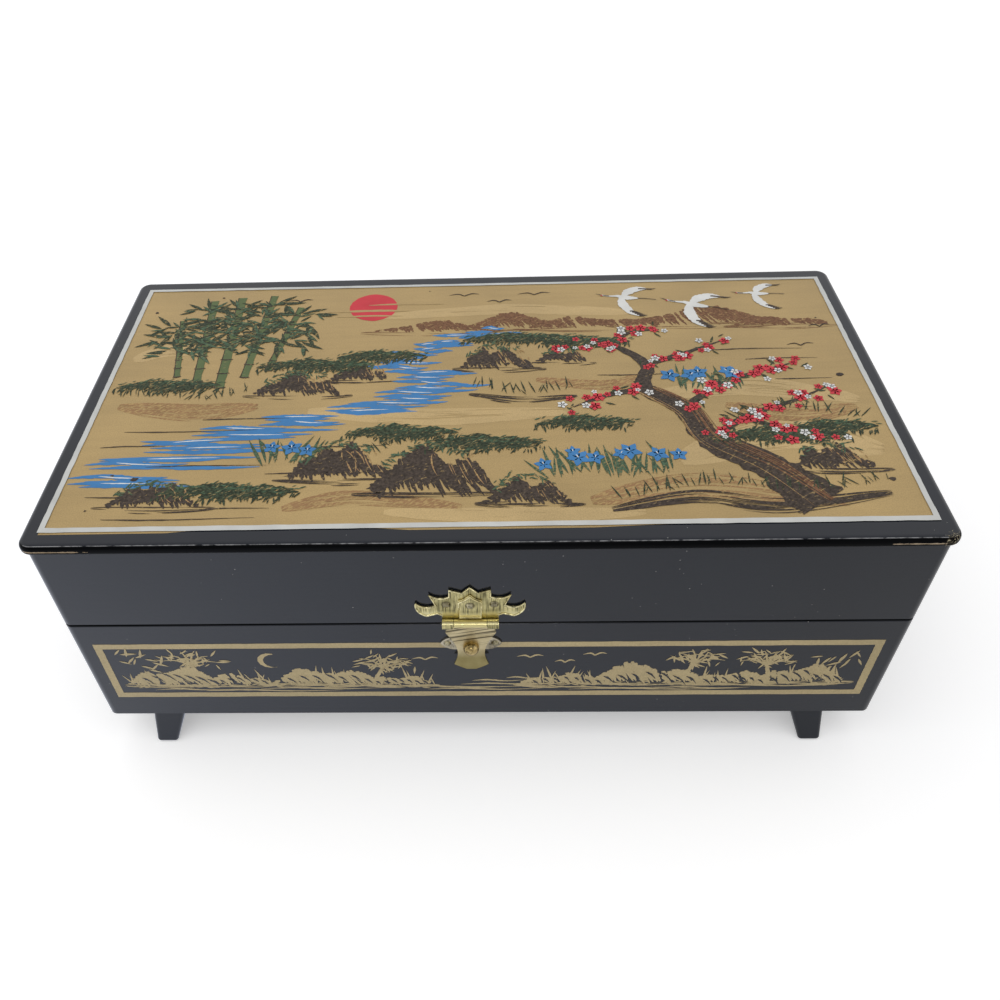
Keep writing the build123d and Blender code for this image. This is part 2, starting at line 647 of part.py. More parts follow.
def hasp_plate():
    """The crown-shaped plate on the lid, with a raised middle and the outer knuckles of the hasp."""
    side_w = (HASP_BARREL_W - HASP_MIDDLE_W) / 2 - KNUCKLE_GAP
    heel = (HASP_BARREL_W / 2, HASP_HEEL_H)
    with BuildPart() as plate:
        with BuildSketch(face_plane(CLASP_X, -HALF_D, HASP_AXIS_Z)):
            with BuildLine():
                Polyline((0, 0), (HASP_BARREL_W / 2, 0), heel, HASP_WAIST, HASP_HORN_FOOT)
                ThreePointArc(HASP_HORN_FOOT, HASP_HORN_SIDE, HASP_HORN_TIP)
                ThreePointArc(HASP_HORN_TIP, HASP_HORN_BROW, HASP_OUTER_NOTCH)
                Line(HASP_OUTER_NOTCH, HASP_OUTER_POINT)
                ThreePointArc(HASP_OUTER_POINT, HASP_OUTER_BROW, HASP_INNER_NOTCH)
                Polyline(HASP_INNER_NOTCH, HASP_INNER_POINT, HASP_DIP, HASP_PEAK)
                mirror(about=Plane.YZ)
            make_face()
        extrude(amount=HASP_T)
        with BuildSketch(face_plane(CLASP_X, -HALF_D - HASP_T, HASP_AXIS_Z)):
            with BuildLine():
                foot_corner = (BOSS_W / 2, BOSS_FOOT_H)
                shoulder = (BOSS_W / 2, BOSS_SHOULDER_H)
                Polyline((0, BOSS_FOOT_H), foot_corner, shoulder)
                RadiusArc(shoulder, (0, BOSS_PEAK_H), BOSS_W)
                mirror(about=Plane.YZ)
            make_face()
        extrude(amount=BOSS_RISE)
        for start in (-HASP_BARREL_W / 2, HASP_BARREL_W / 2 - side_w):
            rod((CLASP_X + start, HASP_AXIS_Y, HASP_AXIS_Z), (1, 0, 0), HASP_KNUCKLE_R, side_w)
        middle_x = CLASP_X - HASP_MIDDLE_W / 2 - KNUCKLE_GAP
        middle_w = HASP_MIDDLE_W + 2 * KNUCKLE_GAP
        clear_r = HASP_KNUCKLE_R + KNUCKLE_GAP
        rod((middle_x, HASP_AXIS_Y, HASP_AXIS_Z), (1, 0, 0), clear_r, middle_w, Mode.SUBTRACT)
        bore_x = CLASP_X - HASP_BARREL_W / 2
        bore_r = HASP_PIN_R + SHAFT_FIT
        rod((bore_x, HASP_AXIS_Y, HASP_AXIS_Z), (1, 0, 0), bore_r, HASP_BARREL_W, Mode.SUBTRACT)
        nail_holes(HASP_NAILS, -HALF_D - HASP_T, 1)
        x, z = HASP_NAILS[1]
        rod((x, -HALF_D, z), (0, -1, 0), NAIL_R + NAIL_FIT, HASP_T + BOSS_RISE, Mode.SUBTRACT)
    return plate


def hasp_pin():
    with BuildPart() as pin:
        start = (CLASP_X - HASP_BARREL_W / 2, HASP_AXIS_Y, HASP_AXIS_Z)
        rod(start, (1, 0, 0), HASP_PIN_R, HASP_BARREL_W)
    return pin


def hasp_flap():
    """The waisted flap that hangs from the hasp's middle knuckle; its tail bends out for a fingertip."""
    bend_z = HASP_AXIS_Z - FLAP_BEND
    tail_drop = FLAP_L - FLAP_BEND
    bend_r = (tail_drop**2 + FLAP_FLARE**2) / (2 * FLAP_FLARE)
    front_share = (bend_r - FLAP_T) / bend_r
    bend_y = FLAP_BACK_Y - bend_r
    back_end = (FLAP_BACK_Y - FLAP_FLARE, bend_z - tail_drop)
    front_end = (bend_y + (back_end[0] - bend_y) * front_share, bend_z - tail_drop * front_share)
    back_turn = (FLAP_BACK_Y, bend_z)
    front_turn = (FLAP_BACK_Y - FLAP_T, bend_z)
    with BuildPart() as flap:
        with BuildSketch(face_plane(CLASP_X, FLAP_BACK_Y, HASP_AXIS_Z)):
            with BuildLine():
                shoulder = mirrored(FLAP_SHOULDER)
                widest = mirrored(FLAP_WIDEST)
                tail = mirrored(FLAP_TAIL)
                Polyline((0, 0), (FLAP_SHOULDER[0], 0), shoulder)
                ThreePointArc(shoulder, mirrored(FLAP_BROW), widest)
                Spline(widest, mirrored(FLAP_TAPER), mirrored(FLAP_WAIST), tail)
                RadiusArc(tail, (0, -FLAP_L), FLAP_L)
                mirror(about=Plane.YZ)
            make_face()
        extrude(amount=FLAP_T + FLAP_FLARE)
        with BuildSketch(Plane.YZ.offset(CLASP_X)):
            with BuildLine():
                Line((FLAP_BACK_Y, HASP_AXIS_Z), back_turn)
                TangentArc(back_turn, back_end, tangent=(0, -1))
                Line(back_end, front_end)
                TangentArc(front_turn, front_end, tangent=(0, -1))
                Polyline(front_turn, (FLAP_BACK_Y - FLAP_T, HASP_AXIS_Z), (FLAP_BACK_Y, HASP_AXIS_Z))
            make_face()
        extrude(amount=FLAP_WIDEST[0], both=True, mode=Mode.INTERSECT)
        start = (CLASP_X - HASP_MIDDLE_W / 2, HASP_AXIS_Y, HASP_AXIS_Z)
        rod(start, (1, 0, 0), HASP_KNUCKLE_R, HASP_MIDDLE_W)
        rod(start, (1, 0, 0), HASP_PIN_R + SHAFT_FIT, HASP_MIDDLE_W, Mode.SUBTRACT)
        knob = (CLASP_X, FLAP_BACK_Y, HASP_AXIS_Z - KNOB_DROP)
        rod(knob, (0, -1, 0), KNOB_RIVET_R, FLAP_T, Mode.SUBTRACT)
    return flap


def hasp_knob():
    """The knob riveted to the flap: the outer part of a ball, seated flat."""
    z = HASP_AXIS_Z - KNOB_DROP
    seat_y = FLAP_BACK_Y - FLAP_T
    crown_y = seat_y - KNOB_H
    ball_y = crown_y + KNOB_R
    seat_r = (KNOB_R**2 - (seat_y - ball_y) ** 2) ** 0.5
    slant = KNOB_R * sin(radians(45))
    with BuildPart() as knob:
        with BuildSketch(Plane.XY.offset(z)):
            with BuildLine():
                rivet_x = CLASP_X + KNOB_RIVET_R
                seat = (CLASP_X + seat_r, seat_y)
                crown = (CLASP_X, crown_y)
                Polyline((CLASP_X, FLAP_BACK_Y), (rivet_x, FLAP_BACK_Y), (rivet_x, seat_y), seat)
                ThreePointArc(seat, (CLASP_X + slant, ball_y - slant), crown)
                Line(crown, (CLASP_X, FLAP_BACK_Y))
            make_face()
        revolve(axis=Axis((CLASP_X, 0, z), (0, 1, 0)))
    return knob


def lid_top():
    """The top board, which laps a little over the lid's walls and is rounded over all round."""
    with BuildPart() as board:
        with BuildSketch(Plane.XY.offset(CEILING_Z)):
            RectangleRounded(BOX_W + 2 * TOP_LAP, BOX_D + 2 * TOP_LAP, CORNER_R + TOP_LAP)
        extrude(amount=TOP_T)
        fillet(board.faces().sort_by(Axis.Z)[0].edges(), TOP_UNDER_R)
        fillet(board.faces().sort_by(Axis.Z)[-1].edges(), TOP_EDGE_R)
    return board


def mirror_glass():
    with BuildPart() as glass:
        half_w = MIRROR_W / 2
        half_d = MIRROR_D / 2
        block(-half_w, half_w, -half_d, half_d, CEILING_Z - GLASS_T, CEILING_Z)
    return glass


def mirror_frame():
    """A moulding round the mirror, rebated over the edge of the glass."""
    with BuildPart() as frame:
        with BuildSketch(Plane.XY.offset(CEILING_Z - FRAME_T)):
            Rectangle(MIRROR_W + 2 * FRAME_RIM, MIRROR_D + 2 * FRAME_RIM)
            Rectangle(MIRROR_W - 2 * FRAME_LAP, MIRROR_D - 2 * FRAME_LAP, mode=Mode.SUBTRACT)
        extrude(amount=FRAME_T)
        chamfer(frame.faces().sort_by(Axis.Z)[0].edges(), FRAME_EASE)
        with BuildSketch(Plane.XY.offset(CEILING_Z)):
            Rectangle(MIRROR_W + 2 * GLASS_FIT, MIRROR_D + 2 * GLASS_FIT)
        extrude(amount=-GLASS_T, mode=Mode.SUBTRACT)
    return frame


def bedplate():
    """The cast bedplate, with the comb's pedestal and the boss under the worm."""
    with BuildPart() as bed:
        with BuildSketch(Plane.XY.offset(FLOOR_Z)):
            with Locations((BARREL_X + (BED_RIGHT - BED_LEFT) / 2, MOVE_Y + (BED_BACK - BED_FRONT) / 2)):
                RectangleRounded(BED_LEFT + BED_RIGHT, BED_FRONT + BED_BACK, BED_CORNER_R)
        extrude(amount=BED_T)
        pedestal_z = AXIS_Z - COMB_TOOTH_T / 2
        left_x = CYLINDER_X
        right_x = CYLINDER_X + CYLINDER_L
        block(left_x, right_x, COMB_BACK_Y, COMB_BACK_Y + COMB_BASE_L, BED_Z, pedestal_z)
        rod((WORM_X, WORM_Y, BED_Z), (0, 0, 1), FAN_HUB_R, FRAME_PLATE_T)
        pivot_z = BED_Z + FRAME_PLATE_T
        rod((WORM_X, WORM_Y, pivot_z), (0, 0, -1), WORM_PIVOT_R + SHAFT_FIT, WORM_PIVOT_L, Mode.SUBTRACT)
        rod((BARREL_X, MOVE_Y, FLOOR_Z), (0, 0, 1), WINDER_R + SHAFT_FIT, BED_T, Mode.SUBTRACT)
        for x, y in MOVEMENT_SCREWS:
            rod((x, y, FLOOR_Z), (0, 0, 1), SCREW_R, BED_T, Mode.SUBTRACT)
        for x, y in COMB_SCREWS:
            rod((x, y, pedestal_z), (0, 0, -1), SMALL_SCREW_R, SMALL_SCREW_L, Mode.SUBTRACT)
        for x, y in FRAME_SCREWS:
            rod((x, y, BED_Z), (0, 0, -1), SMALL_SCREW_R, BED_T, Mode.SUBTRACT)
    return bed


def movement_screws():
    """The screws that hold the movement from under the case, with sunk heads."""
    with BuildPart() as screws:
        for x, y in MOVEMENT_SCREWS:
            rod((x, y, FOOT_H), (0, 0, 1), SCREW_HEAD_R, SCREW_HEAD_H)
            rod((x, y, FOOT_H), (0, 0, 1), SCREW_R, BOTTOM_T + BED_T)
    return screws


def bearing_posts():
    """The two posts that carry the cylinder's arbor."""
    with BuildPart() as posts:
        for x in (LEFT_BEARING_X, RIGHT_BEARING_X):
            with BuildSketch(Plane.YZ.offset(x)):
                with Locations((MOVE_Y, (BED_Z + AXIS_Z) / 2)):
                    Trapezoid(BEARING_W, AXIS_H, degrees_to_shoulder())
                with Locations((MOVE_Y, AXIS_Z)):
                    Circle(BEARING_CAP_R)
                    Circle(ARBOR_R + SHAFT_FIT, mode=Mode.SUBTRACT)
            extrude(amount=BEARING_T)
    return posts


def degrees_to_shoulder():
    """The lean of a bearing post's sides, from its foot in to its round cap."""
    return Vector(BEARING_W / 2 - BEARING_CAP_R, AXIS_H).get_angle(Vector(1, 0))


def gear_outline(teeth, module, phase):
    """Points of a gear with straight-flanked teeth, one of them centred on the angle phase in degrees."""
    pitch_r = module * teeth / 2
    corners = (
        (pitch_r - DEDENDUM * module, -TOOTH_ROOT_SHARE),
        (pitch_r + ADDENDUM * module, -TOOTH_TIP_SHARE),
        (pitch_r + ADDENDUM * module, TOOTH_TIP_SHARE),
        (pitch_r - DEDENDUM * module, TOOTH_ROOT_SHARE),
    )
    points = []
    for tooth in range(teeth):
        for radius, share in corners:
            angle = radians(phase) + 2 * pi * (tooth + share / 2) / teeth
            points.append((radius * cos(angle), radius * sin(angle)))
    return points


def spur_gear(x, y, width, teeth, module, phase, bore_r):
    """Add a gear on an axis along X, at the height of the cylinder."""
    with BuildSketch(Plane(origin=(x, y, AXIS_Z), x_dir=(0, 1, 0), z_dir=(1, 0, 0))) as profile:
        with BuildLine():
            Polyline(*gear_outline(teeth, module, phase), close=True)
        make_face()
        Circle(bore_r, mode=Mode.SUBTRACT)
    extrude(profile.sketch, amount=width)


def crown_tooth():
    """One tooth of the crown, on the flange at the side that faces the cylinder."""
    pitch = pi * CROWN_MODULE
    tip_z = CROWN_PITCH_Z + ADDENDUM * CROWN_MODULE
    half_root = pitch * TOOTH_ROOT_SHARE / 2
    half_tip = pitch * TOOTH_TIP_SHARE / 2
    with BuildPart() as tooth:
        with BuildSketch(Plane.YZ.offset(CROWN_R - CROWN_FACE / 2)):
            with BuildLine():
                Polyline(
                    (-half_root, CROWN_ROOT_Z),
                    (-half_tip, tip_z),
                    (half_tip, tip_z),
                    (half_root, CROWN_ROOT_Z),
                    close=True,
                )
            make_face()
        extrude(amount=CROWN_FACE)
    return tooth


def barrel():
    """The spring barrel: an open drum with a flange that carries the crown teeth."""
    tooth = crown_tooth().part
    inner_r = DRUM_R - DRUM_WALL
    with BuildPart() as drum:
        rod((BARREL_X, MOVE_Y, BED_Z + DRUM_FOOT), (0, 0, 1), DRUM_R, DRUM_TOP - DRUM_FOOT)
        rod((BARREL_X, MOVE_Y, CROWN_ROOT_Z), (0, 0, -1), FLANGE_R, FLANGE_T)
        with Locations((BARREL_X, MOVE_Y)):
            with PolarLocations(0, CROWN_TEETH):
                add(tooth)
        floor_z = BED_Z + DRUM_FOOT + DRUM_FLOOR
        rod((BARREL_X, MOVE_Y, floor_z), (0, 0, 1), inner_r, DRUM_TOP, Mode.SUBTRACT)
        rod((BARREL_X, MOVE_Y, BED_Z), (0, 0, 1), WINDER_R + SHAFT_FIT, DRUM_TOP, Mode.SUBTRACT)
    return drum


def barrel_cap():
    with BuildPart() as cap:
        base = (BARREL_X, MOVE_Y, BED_Z + DRUM_TOP - DRUM_CAP_T)
        rod(base, (0, 0, 1), DRUM_R - DRUM_WALL, DRUM_CAP_T)
        rod(base, (0, 0, 1), WINDER_R + SHAFT_FIT, DRUM_CAP_T, Mode.SUBTRACT)
    return cap


def mainspring():
    """The flat spring, wound as half turns that widen by a steady step."""
    first_r = WINDER_R + SPRING_GAP + SPRING_T / 2
    last_r = DRUM_R - DRUM_WALL - SPRING_GAP - SPRING_T / 2
    step = (last_r - first_r) / (2 * SPRING_TURNS)
    floor_z = BED_Z + DRUM_FOOT + DRUM_FLOOR + SPRING_GAP
    top_z = BED_Z + DRUM_TOP - DRUM_CAP_T - SPRING_GAP
    with BuildPart() as spring:
        with BuildSketch(Plane((BARREL_X, MOVE_Y, floor_z))):
            with BuildLine() as path:
                for half in range(2 * SPRING_TURNS):
                    odd = half % 2
                    CenterArc((odd * step, 0), first_r + half * step, odd * 180, 180)
            trace(path.line, line_width=SPRING_T)
        extrude(amount=top_z - floor_z)
    return spring


def winding_arbor():
    """The arbor that the key turns: through the bottom board, the bedplate and the barrel."""
    barrel_foot = BED_Z + DRUM_FOOT
    cap_z = BED_Z + DRUM_TOP
    foot_z = KEY_LOBE_Z
    with BuildPart() as arbor:
        rod((BARREL_X, MOVE_Y, foot_z), (0, 0, 1), WINDER_R, cap_z - foot_z)
        rod((BARREL_X, MOVE_Y, cap_z + WINDER_PLAY), (0, 0, 1), WINDER_HEAD_R, WINDER_HEAD_H)
        rod((BARREL_X, MOVE_Y, cap_z), (0, 0, 1), WINDER_R, WINDER_PLAY)
        collar_h = DRUM_FOOT - 2 * WINDER_PLAY
        rod((BARREL_X, MOVE_Y, barrel_foot - WINDER_PLAY), (0, 0, -1), WINDER_HEAD_R, collar_h)
    return arbor


def winding_key():
    """The winged key under the case: a hub with two pierced lobes."""
    with BuildPart() as key:
        with BuildSketch(Plane(origin=(BARREL_X, MOVE_Y, 0), x_dir=(1, 0, 0), z_dir=(0, -1, 0))):
            with Locations((-KEY_LOBE_X, KEY_LOBE_Z), (KEY_LOBE_X, KEY_LOBE_Z)):
                Circle(KEY_LOBE_R)
            with Locations((0, KEY_LOBE_Z)):
                Rectangle(2 * KEY_LOBE_X, KEY_LOBE_R)
            with Locations((-KEY_LOBE_X, KEY_LOBE_Z), (KEY_LOBE_X, KEY_LOBE_Z)):
                Circle(KEY_LOBE_HOLE_R, mode=Mode.SUBTRACT)
        extrude(amount=KEY_T / 2, both=True)
        hub_z = KEY_LOBE_Z - KEY_LOBE_R / 2
        rod((BARREL_X, MOVE_Y, hub_z), (0, 0, 1), KEY_HUB_R, KEY_TOP_Z - hub_z)
        rod((BARREL_X, MOVE_Y, KEY_LOBE_Z), (0, 0, 1), WINDER_R, KEY_TOP_Z - KEY_LOBE_Z, Mode.SUBTRACT)
    return key


def music_cylinder():
    """The pinned cylinder: each note's track carries pins at its own angles."""
    golden_angle = 180 * (3 - 5**0.5)
    pin_r = CYLINDER_R + (PIN_H - PIN_ROOT) / 2
    places = []
    for note in range(NOTES):
        x = CYLINDER_X + (note + 0.5) * NOTE_PITCH
        for pin in range(PINS_PER_NOTE):
            angle = golden_angle * (note * PINS_PER_NOTE + pin)
            y = MOVE_Y + pin_r * cos(radians(angle))
            z = AXIS_Z + pin_r * sin(radians(angle))
            places.append(Location((x, y, z), (angle, 0, 0)))
    with BuildPart() as cylinder:
        rod((CYLINDER_X, MOVE_Y, AXIS_Z), (1, 0, 0), CYLINDER_R, CYLINDER_L)
        with Locations(*places):
            Box(PIN_SIDE, PIN_H + PIN_ROOT, PIN_SIDE)
        rod((CYLINDER_X, MOVE_Y, AXIS_Z), (1, 0, 0), ARBOR_R, CYLINDER_L, Mode.SUBTRACT)
    return cylinder


def cylinder_arbor():
    with BuildPart() as arbor:
        end_x = RIGHT_BEARING_X + BEARING_T + AXIAL_GAP
        rod((DRIVE_X, MOVE_Y, AXIS_Z), (1, 0, 0), ARBOR_R, end_x - DRIVE_X)
    return arbor


def drive_pinion():
    """The pinion that stands on the barrel's crown: a gap between its teeth faces down."""
    with BuildPart() as pinion:
        phase = -90 + 180 / DRIVE_TEETH
        spur_gear(DRIVE_X, MOVE_Y, CROWN_FACE, DRIVE_TEETH, CROWN_MODULE, phase, ARBOR_R)
    return pinion


def cylinder_wheel():
    """The wheel on the cylinder's end that drives the governor."""
    with BuildPart() as wheel:
        spur_gear(WHEEL_X, MOVE_Y, WHEEL_T, WHEEL_TEETH, TRAIN_MODULE, 0, ARBOR_R)
    return wheel


def comb():
    """The steel comb: a thick screwed base and tuned teeth that end beside the pins."""
    tooth_z = AXIS_Z - COMB_TOOTH_T / 2
    right_x = CYLINDER_X + CYLINDER_L
    with BuildPart() as steel:
        block(CYLINDER_X, right_x, COMB_BACK_Y, COMB_TIP_Y, tooth_z, tooth_z + COMB_TOOTH_T)
        block(CYLINDER_X, right_x, COMB_BACK_Y, COMB_BACK_Y + COMB_BASE_L, tooth_z, COMB_TOP_Z)
        for slit in range(1, NOTES):
            x = CYLINDER_X + slit * NOTE_PITCH
            length = COMB_LONG_SLIT + (COMB_SHORT_SLIT - COMB_LONG_SLIT) * slit / NOTES
            half = COMB_SLIT / 2
            block(x - half, x + half, COMB_TIP_Y - length, COMB_TIP_Y, tooth_z, COMB_TOP_Z, Mode.SUBTRACT)
        for x, y in COMB_SCREWS:
            rod((x, y, tooth_z), (0, 0, 1), SMALL_SCREW_R + SHAFT_FIT, COMB_BASE_T, Mode.SUBTRACT)
    return steel


def second_pinion():
    """The second arbor with the pinion that the cylinder's wheel drives."""
    with BuildPart() as pinion:
        width = WHEEL_T + 2 * PINION_EXTRA
        phase = 180 + 180 / PINION_TEETH
        start_x = WHEEL_X - PINION_EXTRA
        spur_gear(start_x, TRAIN_Y, width, PINION_TEETH, TRAIN_MODULE, phase, TRAIN_ARBOR_R)
        length = FRAME_RIGHT_X + FRAME_PLATE_T - FRAME_LEFT_X
        rod((FRAME_LEFT_X, TRAIN_Y, AXIS_Z), (1, 0, 0), TRAIN_ARBOR_R, length)
    return pinion


def worm_wheel():
    """The wheel on the second arbor that drives the worm."""
    with BuildPart() as wheel:
        start_x = WORM_X - WORM_WHEEL_T / 2
        spur_gear(start_x, TRAIN_Y, WORM_WHEEL_T, WORM_WHEEL_TEETH, WORM_MODULE, 0, TRAIN_ARBOR_R)
    return wheel


def governor_frame():
    """The bent plate that carries the second arbor and the worm."""
    with BuildPart() as frame:
        block(FRAME_LEFT_X, FRAME_RIGHT_X + FRAME_PLATE_T, FRAME_FRONT_Y, FRAME_BACK_Y,
              FRAME_TOP_Z, FRAME_TOP_Z + FRAME_PLATE_T)
        for x in (FRAME_LEFT_X, FRAME_RIGHT_X):
            block(x, x + FRAME_PLATE_T, FRAME_FRONT_Y, FRAME_BACK_Y, BED_Z, FRAME_TOP_Z)
        for x, y in FRAME_SCREWS:
            half_l = FRAME_TAB_L / 2
            half_w = FRAME_TAB_W / 2
            block(x - half_l, x + half_l, y - half_w, y + half_w, BED_Z, BED_Z + FRAME_PLATE_T)
            rod((x, y, BED_Z), (0, 0, 1), SMALL_SCREW_R + SHAFT_FIT, FRAME_PLATE_T, Mode.SUBTRACT)
        length = FRAME_RIGHT_X + FRAME_PLATE_T - FRAME_LEFT_X
        bore = (FRAME_LEFT_X, TRAIN_Y, AXIS_Z)
        rod(bore, (1, 0, 0), TRAIN_ARBOR_R + SHAFT_FIT, length, Mode.SUBTRACT)
        worm_bore = (WORM_X, WORM_Y, FRAME_TOP_Z)
        rod(worm_bore, (0, 0, 1), WORM_ROOT_R + SHAFT_FIT, FRAME_PLATE_T, Mode.SUBTRACT)
    return frame


def governor_worm():
    """The upright worm: a shaft with a thread whose gap faces the worm wheel's tooth."""
    thread_h = WORM_TURNS * WORM_LEAD
    pitch_half = WORM_LEAD * TOOTH_PITCH_SHARE / 2
    tip_half = WORM_LEAD * TOOTH_TIP_SHARE / 2
    depth = WORM_TIP_R - WORM_ROOT_R
    sink = SHAFT_FIT
    pivot_z = BED_Z + FRAME_PLATE_T
    with BuildPart() as worm:
        with BuildLine() as path:
            start_z = AXIS_Z - thread_h / 2 + WORM_LEAD / 4
            Helix(WORM_LEAD, thread_h, WORM_ROOT_R, center=(WORM_X, WORM_Y, start_z))
        with BuildSketch(Plane(origin=path.line @ 0, x_dir=(1, 0, 0), z_dir=path.line % 0)):
            with BuildLine():
                Polyline((-sink, -pitch_half), (depth, -tip_half), (depth, tip_half), (-sink, pitch_half),
                         close=True)
            make_face()
        sweep(path=path.line, is_frenet=True)
        rod((WORM_X, WORM_Y, pivot_z), (0, 0, 1), WORM_ROOT_R, FAN_TOP_Z - pivot_z)
        rod((WORM_X, WORM_Y, pivot_z), (0, 0, -1), WORM_PIVOT_R, WORM_PIVOT_L)
    return worm


def governor_fan():
    """The air brake on the worm's top: two wings under a round disc."""
    with BuildPart() as fan:
        rod((WORM_X, WORM_Y, FAN_Z), (0, 0, 1), FAN_HUB_R, FAN_H)
        half = FAN_WING_T / 2
        block(WORM_X - FAN_R, WORM_X + FAN_R, WORM_Y - half, WORM_Y + half, FAN_Z, FAN_Z + FAN_H)
        rod((WORM_X, WORM_Y, FAN_Z + FAN_H), (0, 0, 1), FAN_R, FAN_DISC_T)
        rod((WORM_X, WORM_Y, FAN_Z), (0, 0, 1), WORM_ROOT_R, FAN_H + FAN_DISC_T, Mode.SUBTRACT)
    return fan


def stop_wire():
    """One bent wire: an eye round its pivot, a run over the fan, and a post up to the case's rim."""
    def eye_point(degrees):
        angle = radians(degrees)
        return (WIRE_X, STOP_Y + EYE_R * cos(angle), STOP_Z + EYE_R * sin(angle))

    eye_end = 90.0
    eye_start = 360 + WIRE_EYE_START
    with BuildPart() as wire:
        with BuildLine() as path:
            ThreePointArc(eye_point(eye_start), eye_point((eye_start + eye_end) / 2), eye_point(eye_end))
            FilletPolyline(
                eye_point(eye_end),
                (WIRE_X, POST_Y, WIRE_Z),
                (POST_X, POST_Y, WIRE_Z),
                (POST_X, POST_Y, POST_TOP_Z),
                radius=WIRE_BEND_R,
            )
        with BuildSketch(Plane(origin=path.line @ 0, z_dir=path.line % 0)):
            RegularPolygon(WIRE_R, WIRE_SIDES)
        sweep(path=path.line)
    return wire


def stop_pivot():
    """The shouldered screw in the right wall that the stop wire's eye turns on."""
    with BuildPart() as pivot:
        tip_x = INSIDE_X + STOP_PIVOT_SHANK
        head_x = WIRE_X - WIRE_R - KNUCKLE_GAP
        rod((tip_x, STOP_Y, STOP_Z), (-1, 0, 0), STOP_PIVOT_R, tip_x - head_x)
        rod((head_x, STOP_Y, STOP_Z), (-1, 0, 0), EYE_R, SMALL_HEAD_H)
    return pivot


def save(builder, name):
    builder.part.label = name
    export_step(builder.part, f"parts/{name}.step")


os.makedirs("parts", exist_ok=True)

JEWEL_BAY = (-INSIDE_X, PARTITION_X, -INSIDE_Y, INSIDE_Y)
RING_BAY = (BAY_X, INSIDE_X, -INSIDE_Y, CROSS_Y)
OUTER_KNUCKLE_W = (HINGE_W - HINGE_MIDDLE_W) / 2 - KNUCKLE_GAP
CASE_KNUCKLES = [(-HINGE_W / 2, OUTER_KNUCKLE_W), (HINGE_W / 2 - OUTER_KNUCKLE_W, OUTER_KNUCKLE_W)]
LID_KNUCKLES = [(-HINGE_MIDDLE_W / 2, HINGE_MIDDLE_W)]

# Case
save(front_wall(), "front_wall")
save(back_wall(), "back_wall")
save(end_wall(-1, FOOT_H, BODY_H, True), "left_wall")
save(right_wall(), "right_wall")
save(bottom_board(), "bottom_board")
for side_y, depth_name in ((-1, "front"), (1, "back")):
    for side_x, width_name in ((-1, "left"), (1, "right")):
        save(foot(side_x, side_y), f"foot_{depth_name}_{width_name}")
save(floor_pad(*JEWEL_BAY), "jewel_floor_pad")
save(wall_lining(*JEWEL_BAY), "jewel_wall_lining")
save(floor_pad(*RING_BAY), "ring_floor_pad")
save(wall_lining(*RING_BAY), "ring_wall_lining")
save(partition(), "partition")
save(cross_partition(), "cross_partition")
save(cover_battens(), "cover_battens")
save(movement_cover(), "movement_cover")
save(small_screws(COVER_SCREWS, PARTITION_TOP, COVER_T, SMALL_SCREW_L), "cover_screws")
save(hinge_leaves(-1, CASE_KNUCKLES), "case_hinge_leaves")
save(hinge_pins(), "hinge_pins")
save(keeper_plate(), "keeper_plate")
save(body_nails(), "case_nails")

# Lid and hasp
save(lid_top(), "lid_top")
save(lid_front_wall(), "lid_front_wall")
save(lid_back_wall(), "lid_back_wall")
save(end_wall(-1, LID_Z, LID_WALL_H, False), "lid_left_wall")
save(end_wall(1, LID_Z, LID_WALL_H, False), "lid_right_wall")
save(mirror_glass(), "mirror_glass")
save(mirror_frame(), "mirror_frame")
save(hinge_leaves(1, LID_KNUCKLES), "lid_hinge_leaves")
save(hasp_plate(), "hasp_plate")
save(hasp_pin(), "hasp_pin")
save(lid_nails(), "lid_nails")
save(hasp_flap(), "hasp_flap")
save(hasp_knob(), "hasp_knob")

# Movement
save(bedplate(), "bedplate")
save(movement_screws(), "movement_screws")
save(bearing_posts(), "bearing_posts")
save(barrel(), "barrel")
save(barrel_cap(), "barrel_cap")
save(mainspring(), "mainspring")
save(winding_arbor(), "winding_arbor")
save(winding_key(), "winding_key")
save(music_cylinder(), "music_cylinder")
save(cylinder_arbor(), "cylinder_arbor")
save(drive_pinion(), "drive_pinion")
save(cylinder_wheel(), "cylinder_wheel")
save(comb(), "comb")
save(small_screws(COMB_SCREWS, COMB_TOP_Z, COMB_BASE_T, SMALL_SCREW_L), "comb_screws")
save(second_pinion(), "second_pinion")
save(worm_wheel(), "worm_wheel")
save(governor_frame(), "governor_frame")
save(small_screws(FRAME_SCREWS, BED_Z + FRAME_PLATE_T, FRAME_PLATE_T, BED_T), "governor_screws")
save(governor_worm(), "governor_worm")
save(governor_fan(), "governor_fan")
save(stop_wire(), "stop_wire")
save(stop_pivot(), "stop_pivot")
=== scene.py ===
# %% [markdown]
# # Dressing a lacquered music box
# The solid pieces of the box come in ready made, each one in its real place.
# This lesson gives them their finishes: black lacquer, a painted gold panel on the lid,
# a gold frieze on the front, brass fittings, velvet bays, and a bright steel movement.
# Everything is in metres, and the flat paint work is laid out in millimetres first.

# %% Load the box
import bpy
import bmesh
import math
import random
from mathutils import Matrix, Vector


